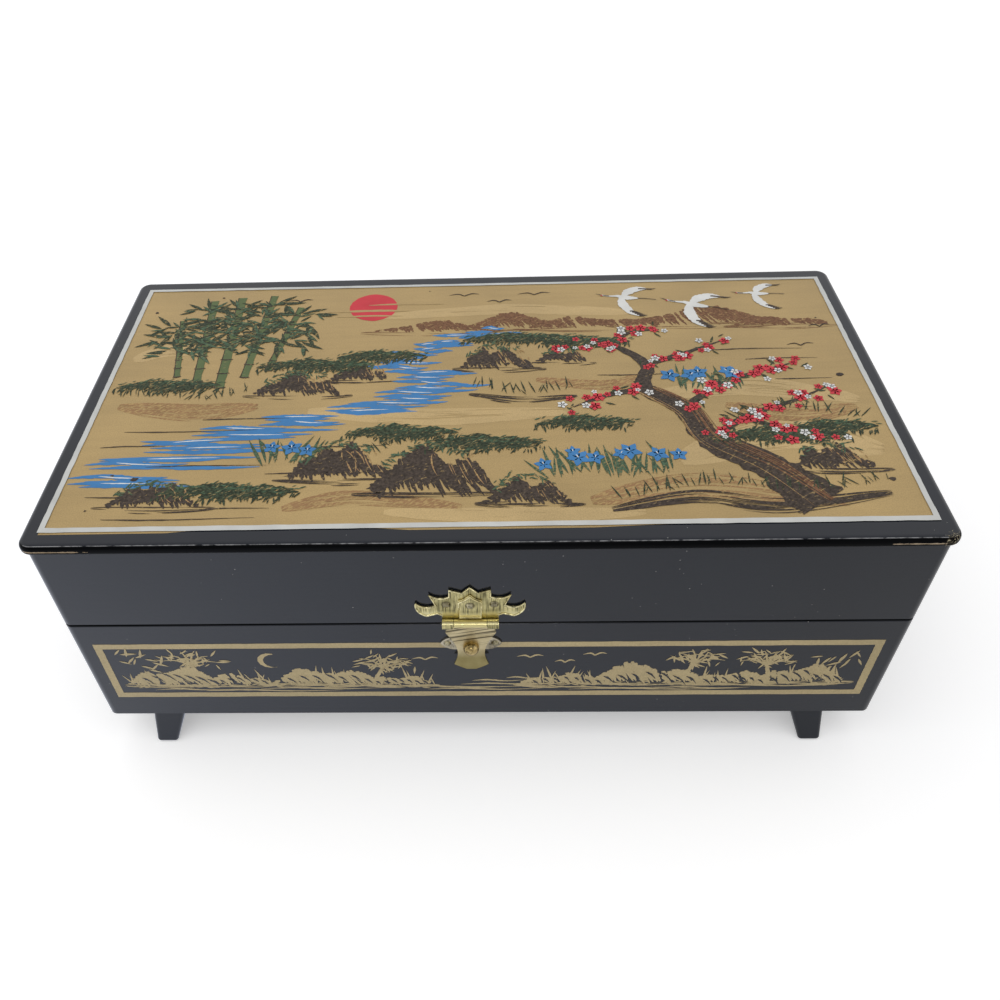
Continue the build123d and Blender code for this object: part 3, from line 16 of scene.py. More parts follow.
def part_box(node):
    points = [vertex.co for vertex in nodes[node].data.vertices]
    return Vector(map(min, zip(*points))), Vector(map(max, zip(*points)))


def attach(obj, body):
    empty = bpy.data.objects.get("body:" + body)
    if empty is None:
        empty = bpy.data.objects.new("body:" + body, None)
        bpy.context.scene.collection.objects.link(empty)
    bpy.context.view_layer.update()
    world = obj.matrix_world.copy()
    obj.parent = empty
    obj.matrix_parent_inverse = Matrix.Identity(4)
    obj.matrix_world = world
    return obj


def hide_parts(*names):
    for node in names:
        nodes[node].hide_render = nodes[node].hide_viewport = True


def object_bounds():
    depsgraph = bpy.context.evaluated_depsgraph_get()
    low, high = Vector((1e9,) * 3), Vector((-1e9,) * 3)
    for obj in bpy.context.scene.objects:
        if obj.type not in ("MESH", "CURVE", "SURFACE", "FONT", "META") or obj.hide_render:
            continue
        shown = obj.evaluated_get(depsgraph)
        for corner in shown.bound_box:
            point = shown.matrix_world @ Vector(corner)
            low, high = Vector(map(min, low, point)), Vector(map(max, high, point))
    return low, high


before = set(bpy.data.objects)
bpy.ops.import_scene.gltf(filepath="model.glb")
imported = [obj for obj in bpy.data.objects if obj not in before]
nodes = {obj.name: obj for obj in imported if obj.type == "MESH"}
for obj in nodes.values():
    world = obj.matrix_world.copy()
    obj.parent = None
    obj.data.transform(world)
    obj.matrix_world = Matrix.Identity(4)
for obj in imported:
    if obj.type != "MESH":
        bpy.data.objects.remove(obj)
solid_low, solid_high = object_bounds()
MM = 0.001
print("box size in mm:", [round(v / MM, 1) for v in solid_high - solid_low])

# %% [markdown]
# ## The camera
# The photograph looks down on the box at about 44 degrees from close by, so the lid's back edge
# looks much shorter than its front edge. The focal length is given as a share of the picture's width,
# and the place, the turn and a small sideways shift come from lining up the box's corners with the picture.

# %% Camera
SENSOR_WIDTH = 36
FOCAL_SHARE = 0.9129
SIDE_SHIFT = 0.0491
CAMERA_PLACE = (0.0006, -0.2595, 0.3087)
YAW, PITCH, ROLL = math.radians(-2.832), math.radians(44.411), math.radians(-2.667)
camera_data = bpy.data.cameras.new("photo_camera")
camera_data.sensor_width = SENSOR_WIDTH
camera_data.lens = SENSOR_WIDTH * FOCAL_SHARE
camera_data.shift_x = SIDE_SHIFT
camera_data.clip_start = 0.005
camera = bpy.data.objects.new("photo_camera", camera_data)
bpy.context.collection.objects.link(camera)
camera.matrix_world = (
    Matrix.Translation(CAMERA_PLACE)
    @ Matrix.Rotation(-YAW, 4, "Z")
    @ Matrix.Rotation(math.pi / 2 - PITCH, 4, "X")
    @ Matrix.Rotation(ROLL, 4, "Z")
)
bpy.context.scene.camera = camera
bpy.context.scene.view_settings.view_transform = "Standard"
print("lens in mm:", round(camera_data.lens, 2))

# %% [markdown]
# ## Materials from nodes
# Each finish is a Principled shader with a little more: noise that changes its colour, gloss and surface.
# The helpers below keep such trees short. An input is given as a plain value, as a node, which is linked
# by its first output, or as a pair of a node and one of its outputs.

# %% Helpers for node trees
def shown(sockets, key):
    """A socket by number or name, counting only those that the node's settings show."""
    seen = [socket for socket in sockets if socket.enabled]
    return seen[key] if isinstance(key, int) else next(socket for socket in seen if socket.name == key)


class Tree:
    """A node tree, with short ways to add nodes to it."""

    def __init__(self, tree):
        self.tree = tree

    def feed(self, socket, value):
        """Set an input to a plain value, or link it to a node."""
        source = value if isinstance(value, tuple) else (value, 0)
        if isinstance(source[0], bpy.types.Node):
            self.tree.links.new(shown(source[0].outputs, source[1]), socket)
        else:
            socket.default_value = (*value, 1) if socket.type == "RGBA" else value

    def add(self, kind, inputs=None, **settings):
        node = self.tree.nodes.new(kind)
        for key, value in settings.items():
            setattr(node, key, value)
        for key, value in (inputs or {}).items():
            self.feed(shown(node.inputs, key), value)
        return node

    def math(self, operation, *values):
        return self.add("ShaderNodeMath", dict(enumerate(values)), operation=operation)

    def vector(self, operation, *values):
        return self.add("ShaderNodeVectorMath", dict(enumerate(values)), operation=operation)

    def split(self, source):
        return self.add("ShaderNodeSeparateXYZ", {0: source})

    def span(self, source, start, end, low=0.0, high=1.0, **settings):
        """Map a value that runs from start to end onto one that runs from low to high."""
        return self.add("ShaderNodeMapRange", dict(enumerate((source, start, end, low, high))), **settings)


def methods(kind):
    return [name for name in vars(kind) if not name.startswith("_")]


print("a tree can", ", ".join(methods(Tree)))

# %% Helpers for finishes
class Finish(Tree):
    """A new material with a Principled shader."""

    def __init__(self, name, **values):
        self.material = bpy.data.materials.new(name)
        self.material.use_nodes = True
        super().__init__(self.material.node_tree)
        self.shader = self.tree.nodes["Principled BSDF"]
        self.place = self.add("ShaderNodeTexCoord"), "Object"
        self.set(**values)

    def set(self, **values):
        """Feed the shader; an underscore in a socket's name stands for a space."""
        for name, value in values.items():
            self.feed(self.shader.inputs[name.replace("_", " ")], value)

    def stretch(self, scale, turn=(0, 0, 0)):
        """Object coordinates in metres, turned and then stretched, so that a pattern runs long one way."""
        inputs = {"Vector": self.place, "Scale": [1 / s for s in scale], "Rotation": turn}
        return self.add("ShaderNodeMapping", inputs, vector_type="TEXTURE")

    def noise(self, scale, detail, rough=0.5, along=None):
        source = self.place if along is None else along
        inputs = {"Vector": source, "Scale": scale, "Detail": detail, "Roughness": rough}
        return self.add("ShaderNodeTexNoise", inputs)

    def ramp(self, source, *stops):
        """A colour ramp; stops are pairs of place and colour or grey level."""
        node = self.add("ShaderNodeValToRGB", {0: source})
        elements = node.color_ramp.elements
        while len(elements) < len(stops):
            elements.new(0.5)
        for element, (where, colour) in zip(elements, stops):
            element.position = where
            element.color = (*colour, 1) if isinstance(colour, tuple) else (colour, colour, colour, 1)
        return node

    def mix(self, amount, first, second, blend="MIX"):
        return self.add("ShaderNodeMix", {0: amount, 1: first, 2: second}, data_type="RGBA", blend_type=blend)

    def times(self, first, second, amount=1.0):
        return self.mix(amount, first, second, "MULTIPLY")

    def between(self, source, low, high, soft):
        """A mask that is 1 between two levels and fades out over a soft width beyond them."""
        return self.math("MULTIPLY", self.span(source, low - soft, low), self.span(source, high + soft, high))

    def rough(self, source, low, high):
        self.set(Roughness=self.span(source, 0, 1, low, high))

    def bump(self, source, strength, depth):
        inputs = {"Height": source, "Strength": strength, "Distance": depth}
        self.set(Normal=self.add("ShaderNodeBump", inputs))


def dress(material, *names):
    """Give CAD nodes one finish."""
    for name in names:
        slots = nodes[name].data.materials
        slots.clear()
        slots.append(material)
    print(material.name, "on", len(names), "pieces")


print("a finish can also", ", ".join(methods(Finish)))

# %% [markdown]
# ## Floor and light
# The box stands on a plain white table. The floor is a pale matte plane that keeps the soft shadow.
# A little glow is added only for what the camera sees, what gloss reflects and what shows through glass,
# so no extra light falls on the box. For the camera it grows with distance, so that no horizon shows.
# In reflections it is bluish and brighter on the left, as from a window there.
# One wide soft lamp hangs above, and the world fills in.
# Gloss also needs something dark to reflect, or metal and lacquer look flat. In a real studio that is
# the unlit side of the room, behind the camera, so the world is darker there, but only for gloss.
# A small bright spot in the dark part gives round brass and polished edges their highlight.
# The lamp itself is kept out of reflections, which would show it as a hard white sheet.

# %% Floor
def by_ray(tree, weights, level):
    """Add to a level one weight each for rays from the camera, from gloss and through glass."""
    path = tree.add("ShaderNodeLightPath")
    for kind, weight in zip(("Camera", "Glossy", "Transmission"), weights):
        level = tree.math("MULTIPLY_ADD", (path, f"Is {kind} Ray"), weight, level)
    return level


TABLE_SIZE, TABLE_DROP = 8, 0.0002
WINDOW_TINT = (0.86, 0.98, 1.28)
GLASS_GLOW = 0.2
bpy.ops.mesh.primitive_plane_add(size=TABLE_SIZE, location=(0, 0, -TABLE_DROP))
table = bpy.context.object
table.name = "table"
white = Finish("white_table", Base_Color=(0.86, 0.86, 0.865), Roughness=0.9, Specular_IOR_Level=0.1)
window = white.span((white.split(white.place), "X"), -0.26, 0.15, 0.5, 0.0)
fade = white.span(white.vector("LENGTH", white.place), 0.3, 1.6, 0.34, 0.95)
gloss = white.add("ShaderNodeLightPath"), "Is Glossy Ray"
white.set(Emission_Strength=by_ray(white, (fade, window, GLASS_GLOW), 0.0),
          Emission_Color=white.mix(gloss, (1, 1, 1), WINDOW_TINT))
table.data.materials.append(white.material)
print("table in metres:", TABLE_SIZE)

# %% Lamp and world
LAMP_PLACE, LAMP_SIZE, LAMP_WATTS = Vector((-0.3, -0.25, 1.35)), (2.2, 1.8), 13.5
lamp_data = bpy.data.lights.new("soft_lamp", "AREA")
lamp_data.shape = "RECTANGLE"
lamp_data.size, lamp_data.size_y = LAMP_SIZE
lamp_data.energy = LAMP_WATTS
lamp = bpy.data.objects.new("soft_lamp", lamp_data)
bpy.context.collection.objects.link(lamp)
lamp.location = LAMP_PLACE
lamp.rotation_euler = (-LAMP_PLACE).to_track_quat("-Z", "Y").to_euler()
lamp.visible_glossy = False

ROOM_LEVEL, ROOM_GLOW = 0.5, 0.5
DARK_SIDE = (0, -0.69, 0.72)
world = bpy.data.worlds.new("white_room")
bpy.context.scene.world = world
world.use_nodes = True
room = Tree(world.node_tree)
background = world.node_tree.nodes["Background"]
toward = room.vector("DOT_PRODUCT", (room.add("ShaderNodeTexCoord"), "Generated"), DARK_SIDE)
figure = room.span(toward, 0.50, 0.80, 0.5, 0.15, interpolation_type="SMOOTHSTEP")
spark = room.span(toward, 0.984, 0.994, 0.0, 5.0)
room.feed(background.inputs["Color"], (1, 1, 1))
room.feed(background.inputs["Strength"],
          by_ray(room, (ROOM_GLOW, room.math("ADD", figure, spark), ROOM_GLOW), ROOM_LEVEL))
print("lamp in watts:", LAMP_WATTS)

# %% [markdown]
# ## Black lacquer
# The walls are thin wood under gloss lacquer. Up close it isn't a flat black: the wood's grain and
# the brush leave a faint ripple, dust leaves pale specks, and cloths leave hair scratches.
# Along the foot of the lid's top board the lacquer has cracked to pale wood near the front corners.
# The board's edge and the seam are painted darker and less glossy, a painted shade, and a painted highlight
# runs in dashes along the arris above that edge.
# The right front corner is chipped.
# All of it reads Object coordinates, so the wear sits at the real corners, and the painted shade and
# highlight on the real edges, in every view.

# %% Masks of wear
BOARD_LOW, BOARD_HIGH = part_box("lid_top")
CRACKED_EDGE = (BOARD_HIGH.x - 0.0105, BOARD_LOW.y + 0.0003, BOARD_LOW.z + 0.0015)
CRACK_SQUASH, CRACK_REACH = (0.30, 2.2, 13.0), 0.0050
CHIPPED_CORNER = (BOARD_HIGH.x - 0.0030, BOARD_LOW.y + 0.0008, BOARD_HIGH.z - 0.0022)


def cracks(finish):
    """A mask that is 1 in a thin broken line at both ends of the board's lower edge. X is mirrored."""
    split = finish.split(finish.place)
    side = finish.math("ABSOLUTE", (split, "X"))
    here = finish.add("ShaderNodeCombineXYZ", {"X": side, "Y": (split, "Y"), "Z": (split, "Z")})
    away = finish.vector("MULTIPLY", finish.vector("SUBTRACT", here, CRACKED_EDGE), CRACK_SQUASH)
    near = finish.math("DIVIDE", finish.vector("LENGTH", away), CRACK_REACH)
    grit = finish.math("MULTIPLY_ADD", finish.noise(420, 4, 0.65), 1.6, -0.8)
    return finish.math("LESS_THAN", finish.math("ADD", near, grit), 0.62)


def chips(finish):
    """A mask of small chips that crowd at the right front corner."""
    near = finish.span(finish.vector("DISTANCE", finish.place, CHIPPED_CORNER), 0.0065, 0.0005)
    return finish.math("GREATER_THAN", finish.math("MULTIPLY", near, finish.noise(1300, 3, 0.7)), 0.30)


def specks(finish):
    """A mask of dust: small spots of uneven size, with bare places between."""
    spots = finish.add("ShaderNodeTexVoronoi", {"Vector": finish.place, "Scale": 330})
    size = finish.math("MULTIPLY", finish.noise(170, 1), 0.11)
    some = finish.math("GREATER_THAN", finish.noise(35, 2), 0.53)
    return finish.math("MULTIPLY", finish.math("LESS_THAN", spots, size), some)


print("chipped corner in mm:", [round(v / MM, 1) for v in CHIPPED_CORNER])

# %% Lacquer
LACQUER_BLACK, LACQUER_CLOUD = (0.0022, 0.0038, 0.0085), (0.0060, 0.0090, 0.0170)
BARE_WOOD, WOOD_GRAIN, SPLINTER = (0.56, 0.46, 0.35), (0.25, 0.17, 0.09), (0.38, 0.33, 0.22)
# The dust colour is real dust; the next two colours are a painted shade and a painted highlight.
DUST, SHADE_BLACK, ARRIS_HIGHLIGHT = (0.35, 0.34, 0.32), (0.0012, 0.0014, 0.0018), (0.42, 0.42, 0.43)
# Painted shade: a band at the foot of the lid's top board and one along the seam are painted darker.
SHADED_BOARD_EDGE = BOARD_LOW.z - 0.0001, BOARD_LOW.z + 0.0031, 0.0003
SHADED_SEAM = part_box("front_wall")[1].z - 0.0002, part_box("lid_front_wall")[0].z + 0.0002, 0.0002
# Painted highlight: the heights of a thin pale line painted along the front arris of the top board.
ARRIS = BOARD_LOW.z + 0.00322, BOARD_LOW.z + 0.00330, 0.00006
ARRIS_FRONT = BOARD_LOW.y + 0.0015


def make_lacquer():
    lacquer = Finish("black_lacquer", IOR=1.45)
    split = lacquer.split(lacquer.place)
    height = split, "Z"
    grain = lacquer.noise(60, 6, 0.6, lacquer.stretch((1.2, 14, 14)))
    shade = lacquer.mix(lacquer.noise(22, 3), LACQUER_BLACK, LACQUER_CLOUD)
    shade = lacquer.mix(lacquer.math("MULTIPLY", specks(lacquer), 0.55), shade, DUST)

    # Painted shade: both bands are painted near black and lose most of their gloss.
    edge, seam = lacquer.between(height, *SHADED_BOARD_EDGE), lacquer.between(height, *SHADED_SEAM)
    painted_shade = lacquer.math("MAXIMUM", edge, seam)
    shade = lacquer.mix(painted_shade, shade, SHADE_BLACK)
    lacquer.set(Specular_IOR_Level=lacquer.span(painted_shade, 0, 1, 0.5, 0.05))

    # Painted highlight: a pale line in dashes along the front arris, where the edge would catch light.
    front = lacquer.math("LESS_THAN", (split, "Y"), ARRIS_FRONT)
    arris = lacquer.math("MULTIPLY", lacquer.between(height, *ARRIS), front)
    patchy = lacquer.noise(1.0, 3, 0.6, lacquer.stretch((420, 900, 900)))
    dashes = lacquer.ramp(patchy, (0.34, 0.0), (0.58, 0.6))
    shade = lacquer.mix(lacquer.math("MULTIPLY", arris, dashes), shade, ARRIS_HIGHLIGHT)

    cracked = cracks(lacquer)
    shade = lacquer.mix(cracked, shade, lacquer.mix(grain, BARE_WOOD, WOOD_GRAIN))
    splinters = lacquer.ramp(lacquer.noise(2400, 2), (0.54, 0.003), (0.64, SPLINTER))
    lacquer.set(Base_Color=lacquer.mix(chips(lacquer), shade, splinters))
    scratch = lacquer.noise(90, 2, 0.5, lacquer.stretch((2, 60, 60), (0.3, 0.2, 0.5)))
    lacquer.rough(lacquer.math("ADD", scratch, cracked), 0.06, 0.2)
    lacquer.bump(lacquer.math("ADD", grain, lacquer.noise(900, 2)), 0.08, 0.0002)
    return lacquer.material


lacquer = make_lacquer()
dress(lacquer, "front_wall", "back_wall", "left_wall", "right_wall", "lid_top", "lid_front_wall",
      "lid_back_wall", "lid_left_wall", "lid_right_wall", "mirror_frame", "foot_front_left",
      "foot_front_right", "foot_back_left", "foot_back_right")

# %% [markdown]
# ## Stained wood
# The bottom board and the partitions only get a thin dark stain, so their grain shows and they are dull.

# %% Stained wood
def make_stained_wood():
    stain = Finish("stained_wood")
    grain = stain.noise(80, 8, 0.65, stain.stretch((0.8, 12, 12)))
    stain.set(Base_Color=stain.ramp(grain, (0.3, (0.016, 0.013, 0.011)), (0.7, (0.055, 0.040, 0.030))))
    stain.rough(grain, 0.45, 0.75)
    stain.bump(grain, 0.25, 0.0003)
    return stain.material


dress(make_stained_wood(), "bottom_board", "partition", "cross_partition", "cover_battens")

# %% [markdown]
# ## Brass
# The hasp is stamped from sheet and brushed: fine upright lines on the plate, slanting scratches on the flap.
# Old brass is greenish brown in its hollows, so a slow noise mixes in a darker tone, and so do the lines.
# Each nail has a painted shadow in a ring round it. The plate's foot is painted lighter, a painted light
# against the shade that falls there, and the flap's tail is painted darker olive, a painted shade.

# %% Brushed brass
HASP_AXIS = (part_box("hasp_pin")[0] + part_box("hasp_pin")[1]) / 2
HASP_TONES = (0.66, 0.58, 0.28), (0.38, 0.335, 0.15)
PAINTED_LIGHT_BRASS = (0.72, 0.65, 0.36)
NAIL_RISE, NAIL_REACHES = 0.0082, (-0.0077, 0, 0.0077)
NAIL_RINGS = [(HASP_AXIS.x + reach, HASP_AXIS.z + NAIL_RISE) for reach in NAIL_REACHES]
RING_IN, RING_OUT = 0.0013, 0.0018
# Painted light: the heights of the plate's foot, painted lighter against the shade that falls there.
PLATE_FOOT = HASP_AXIS.z + 0.0022, HASP_AXIS.z + 0.0032, 0.0018
EVEN = (900, 900, 900)
DARK_LINE, SATIN = (0.34, 0.52, 0.35), (0.2, 0.42)


def make_brass(name, bright, dull, line_scale, dark=DARK_LINE, gloss=SATIN, rings=(), painted_light=None):
    """Brass with fine lines. dark gives the noise levels between which a line fades out, and how dark it is.
    rings are places in X and Z with a painted shadow in a ring round them. The last argument gives two
    heights between which the brass is painted lighter, a painted light, and how far this fades out."""
    brass = Finish(name, Metallic=1.0)
    lines = brass.noise(1.0, 3, 0.6, brass.stretch(line_scale))
    tone = brass.ramp(brass.noise(190, 5, 0.6), (0.38, dull), (0.62, bright))
    shade = brass.times(tone, brass.ramp(lines, (dark[0], dark[2]), (dark[1], 1.0)))
    # Painted light: the brass between two heights is painted lighter.
    if painted_light:
        shade = brass.mix(brass.between((brass.split(brass.place), "Z"), *painted_light), shade, PAINTED_LIGHT_BRASS)
    flat = brass.vector("MULTIPLY", brass.place, (1, 0, 1))
    # Painted shadow: a dark ring round each nail head.
    for x, z in rings:
        out = brass.span(brass.vector("DISTANCE", flat, (x, 0, z)), RING_IN, RING_OUT)
        shade = brass.times(shade, brass.ramp(out, (0.0, 0.25), (1.0, 1.0)))
    brass.set(Base_Color=shade)
    brass.rough(lines, *gloss)
    brass.bump(lines, 0.5, 0.00008)
    return brass.material


plate_brass = make_brass("plate_brass", *HASP_TONES, (2100, 200, 110), (0.40, 0.54, 0.32), rings=NAIL_RINGS,
                         painted_light=PLATE_FOOT)
dress(plate_brass, "hasp_plate", "hasp_pin")

# %% The flap
def make_flap_brass():
    """Pale worn sheet: the plate's tone on the knuckle, slanting scratches below it, and a tail painted
    darker olive as painted shade.
    """
    brass = Finish("flap_brass", Metallic=1.0)
    height = brass.split(brass.place), "Z"
    axis = HASP_AXIS.z
    tone = brass.ramp(brass.noise(150, 4, 0.6), (0.36, (0.44, 0.355, 0.19)), (0.64, (0.58, 0.485, 0.285)))
    scratch = brass.noise(1.0, 2, 0.5, brass.stretch((30, 300, 1900), (0, -0.22, 0)))
    lines = brass.ramp(scratch, (0.42, 0.22), (0.48, 1.0))
    shade = brass.times(tone, lines, brass.span(height, axis - 0.0125, axis - 0.0090))
    # Painted shade: the tail is painted darker and olive.
    tail = brass.span(height, axis - 0.0190, axis - 0.0140)
    shade = brass.times(shade, brass.ramp(tail, (0.0, (0.50, 0.50, 0.38)), (1.0, 1.0)))
    knuckle = brass.span(height, axis + 0.0001, axis + 0.0006)
    brass.set(Base_Color=brass.mix(knuckle, shade, HASP_TONES[0]))
    brass.rough(brass.noise(1.0, 3, 0.6, brass.stretch((2200, 300, 160))), 0.22, 0.46)
    brass.bump(scratch, 0.3, 0.0001)
    return brass.material


dress(make_flap_brass(), "hasp_flap")

# %% The other brass pieces
# Paler and glossier than the plate: the bead's edges are polished, and the pale tone is also a painted
# highlight along them.
rim_brass = make_brass("rim_brass", (0.84, 0.76, 0.44), (0.56, 0.48, 0.23), EVEN, gloss=(0.12, 0.25))
worn_brass = make_brass("worn_brass", (0.56, 0.50, 0.37), (0.28, 0.24, 0.16), EVEN)
nail_brass = make_brass("nail_brass", (0.44, 0.39, 0.25), (0.22, 0.19, 0.11), EVEN, gloss=(0.1, 0.28))
hinge_brass = make_brass("hinge_brass", (0.58, 0.47, 0.21), (0.36, 0.29, 0.12), (500, 500, 240),
                         (0.30, 0.45, 0.6))
knob_brass = make_brass("knob_brass", (0.56, 0.42, 0.19), (0.34, 0.25, 0.10), EVEN, gloss=(0.08, 0.2))
dress(hinge_brass, "case_hinge_leaves", "lid_hinge_leaves", "hinge_pins")
dress(worn_brass, "keeper_plate")
dress(nail_brass, "case_nails", "lid_nails")
dress(knob_brass, "hasp_knob")

# %% [markdown]
# ## The movement's metals
# The wheels and the cylinder are turned brass, so their lines run round the arbor.
# The comb, the arbors and the screws are bright steel, and the bed and the barrel are plated castings.

# %% Steel, casting and turned brass
def make_metal(name, bright, dull, gloss, line_scale, depth):
    metal = Finish(name, Metallic=1.0)
    lines = metal.noise(1.0, 4, 0.6, metal.stretch(line_scale))
    metal.set(Base_Color=metal.ramp(metal.noise(140, 4), (0.35, dull), (0.65, bright)))
    metal.rough(lines, *gloss)
    metal.bump(lines, 0.4, depth)
    return metal.material


FINE, COARSE = 0.00003, 0.00012
steel = make_metal("bright_steel", (0.66, 0.66, 0.67), (0.42, 0.42, 0.44), (0.18, 0.36),
                   (300, 2400, 600), FINE)
casting = make_metal("plated_casting", (0.60, 0.60, 0.60), (0.40, 0.40, 0.41), (0.35, 0.6),
                     (700, 700, 700), COARSE)
turned = make_metal("turned_brass", (0.88, 0.69, 0.32), (0.66, 0.49, 0.2), (0.15, 0.3),
                    (2600, 300, 300), FINE)
dress(steel, "comb", "comb_screws", "cover_screws", "movement_screws", "governor_screws", "winding_arbor",
      "cylinder_arbor", "second_pinion", "governor_worm", "stop_wire", "stop_pivot", "mainspring",
      "winding_key")
dress(casting, "bedplate", "barrel", "barrel_cap")
dress(turned, "music_cylinder", "drive_pinion", "cylinder_wheel", "worm_wheel", "governor_frame",
      "governor_fan", "bearing_posts")

# %% [markdown]
# ## Mirror and clear cover
# An old mirror has lost a little silver in faint patches. The cover is a clear sheet with fine rub marks.

# %% Mirror and cover
def make_mirror():
    mirror = Finish("silvered_glass", Metallic=1.0)
    haze = mirror.noise(55, 6, 0.7)
    mirror.set(Base_Color=mirror.ramp(haze, (0.22, (0.60, 0.59, 0.55)), (0.37, (0.88, 0.90, 0.90))))
    mirror.rough(haze, 0.06, 0.01)
    return mirror.material


def make_clear_sheet():
    sheet = Finish("clear_sheet", IOR=1.49, Transmission_Weight=1.0)
    rub = sheet.noise(1.0, 3, 0.6, sheet.stretch((140, 900, 300), (0, 0, 0.4)))
    sheet.set(Base_Color=sheet.ramp(rub, (0.3, (0.90, 0.93, 0.92)), (0.7, (0.97, 0.98, 0.98))))
    sheet.rough(rub, 0.02, 0.09)
    return sheet.material


dress(make_mirror(), "mirror_glass")
dress(make_clear_sheet(), "movement_cover")

# %% [markdown]
# ## Paint shapes
# The lid and the front are painted by hand. A brush mark is a ribbon that swells and tapers along a smooth
# line, so the helpers below make such ribbons, patches with rough edges, and dry marks of many thin ribbons.
# Each colour is gathered into one flat mesh a hair above the lacquer. Marks that cross would lie in one plane
# and spoil each other's shading, so each mark is lifted less than a thousandth of a millimetre above
# the one before.

# %% Layers of paint
LID_TOP = solid_high.z
FRONT_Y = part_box("front_wall")[0].y
FRONT_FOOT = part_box("front_wall")[0].z
HAIR = 0.00003


def on_lid(layer):
    """Where a layer of paint lies on the lid's top, and the body that it rides on."""
    return Matrix.Translation((0, 0, LID_TOP + layer * HAIR)), "lid"


def on_front(layer):
    """The same for the front of the case."""
    place = Matrix.Translation((0, FRONT_Y - layer * HAIR, FRONT_FOOT))
    return place @ Matrix.Rotation(math.pi / 2, 4, "X"), "case"


def add_piece(data, material, body):
    """Make a mesh a piece of the box that rides on a body."""
    data.materials.clear()
    data.materials.append(material)
    piece = bpy.data.objects.new(data.name, data)
    bpy.context.collection.objects.link(piece)
    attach(piece, body)
    print(piece.name, "has", len(data.polygons), "faces")
    return piece


def lay(data, material, place, body):
    """Put flat paint on its surface, with every face looking outwards."""
    data.transform(place)
    outwards = place.to_3x3() @ Vector((0, 0, 1))
    shape = bmesh.new()
    shape.from_mesh(data)
    bmesh.ops.reverse_faces(shape, faces=[face for face in shape.faces if face.normal.dot(outwards) < 0])
    shape.to_mesh(data)
    shape.free()
    add_piece(data, material, body)


print("layers of paint are", HAIR / MM, "mm apart")

# %% Brush marks
LIFT_STEPS, LIFT = 61, 0.0000004


def smooth_line(points, steps=10):
    """Points of a smooth curve through the given points."""
    ends = [points[0], *points, points[-1]]
    line = []
    for i in range(1, len(ends) - 2):
        a, b, c, d = (Vector(p) for p in ends[i - 1:i + 3])
        for s in range(steps):
            t = s / steps
            bend = (2 * a - 5 * b + 4 * c - d) * t**2 + (3 * b - a - 3 * c + d) * t**3
            line.append(0.5 * (2 * b + (c - a) * t + bend))
    line.append(Vector(points[-1]))
    return line


def across(line, i):
    """The direction square to a line at its point i."""
    ahead = line[min(i + 1, len(line) - 1)] - line[max(i - 1, 0)]
    return Vector((-ahead[1], ahead[0])).normalized()


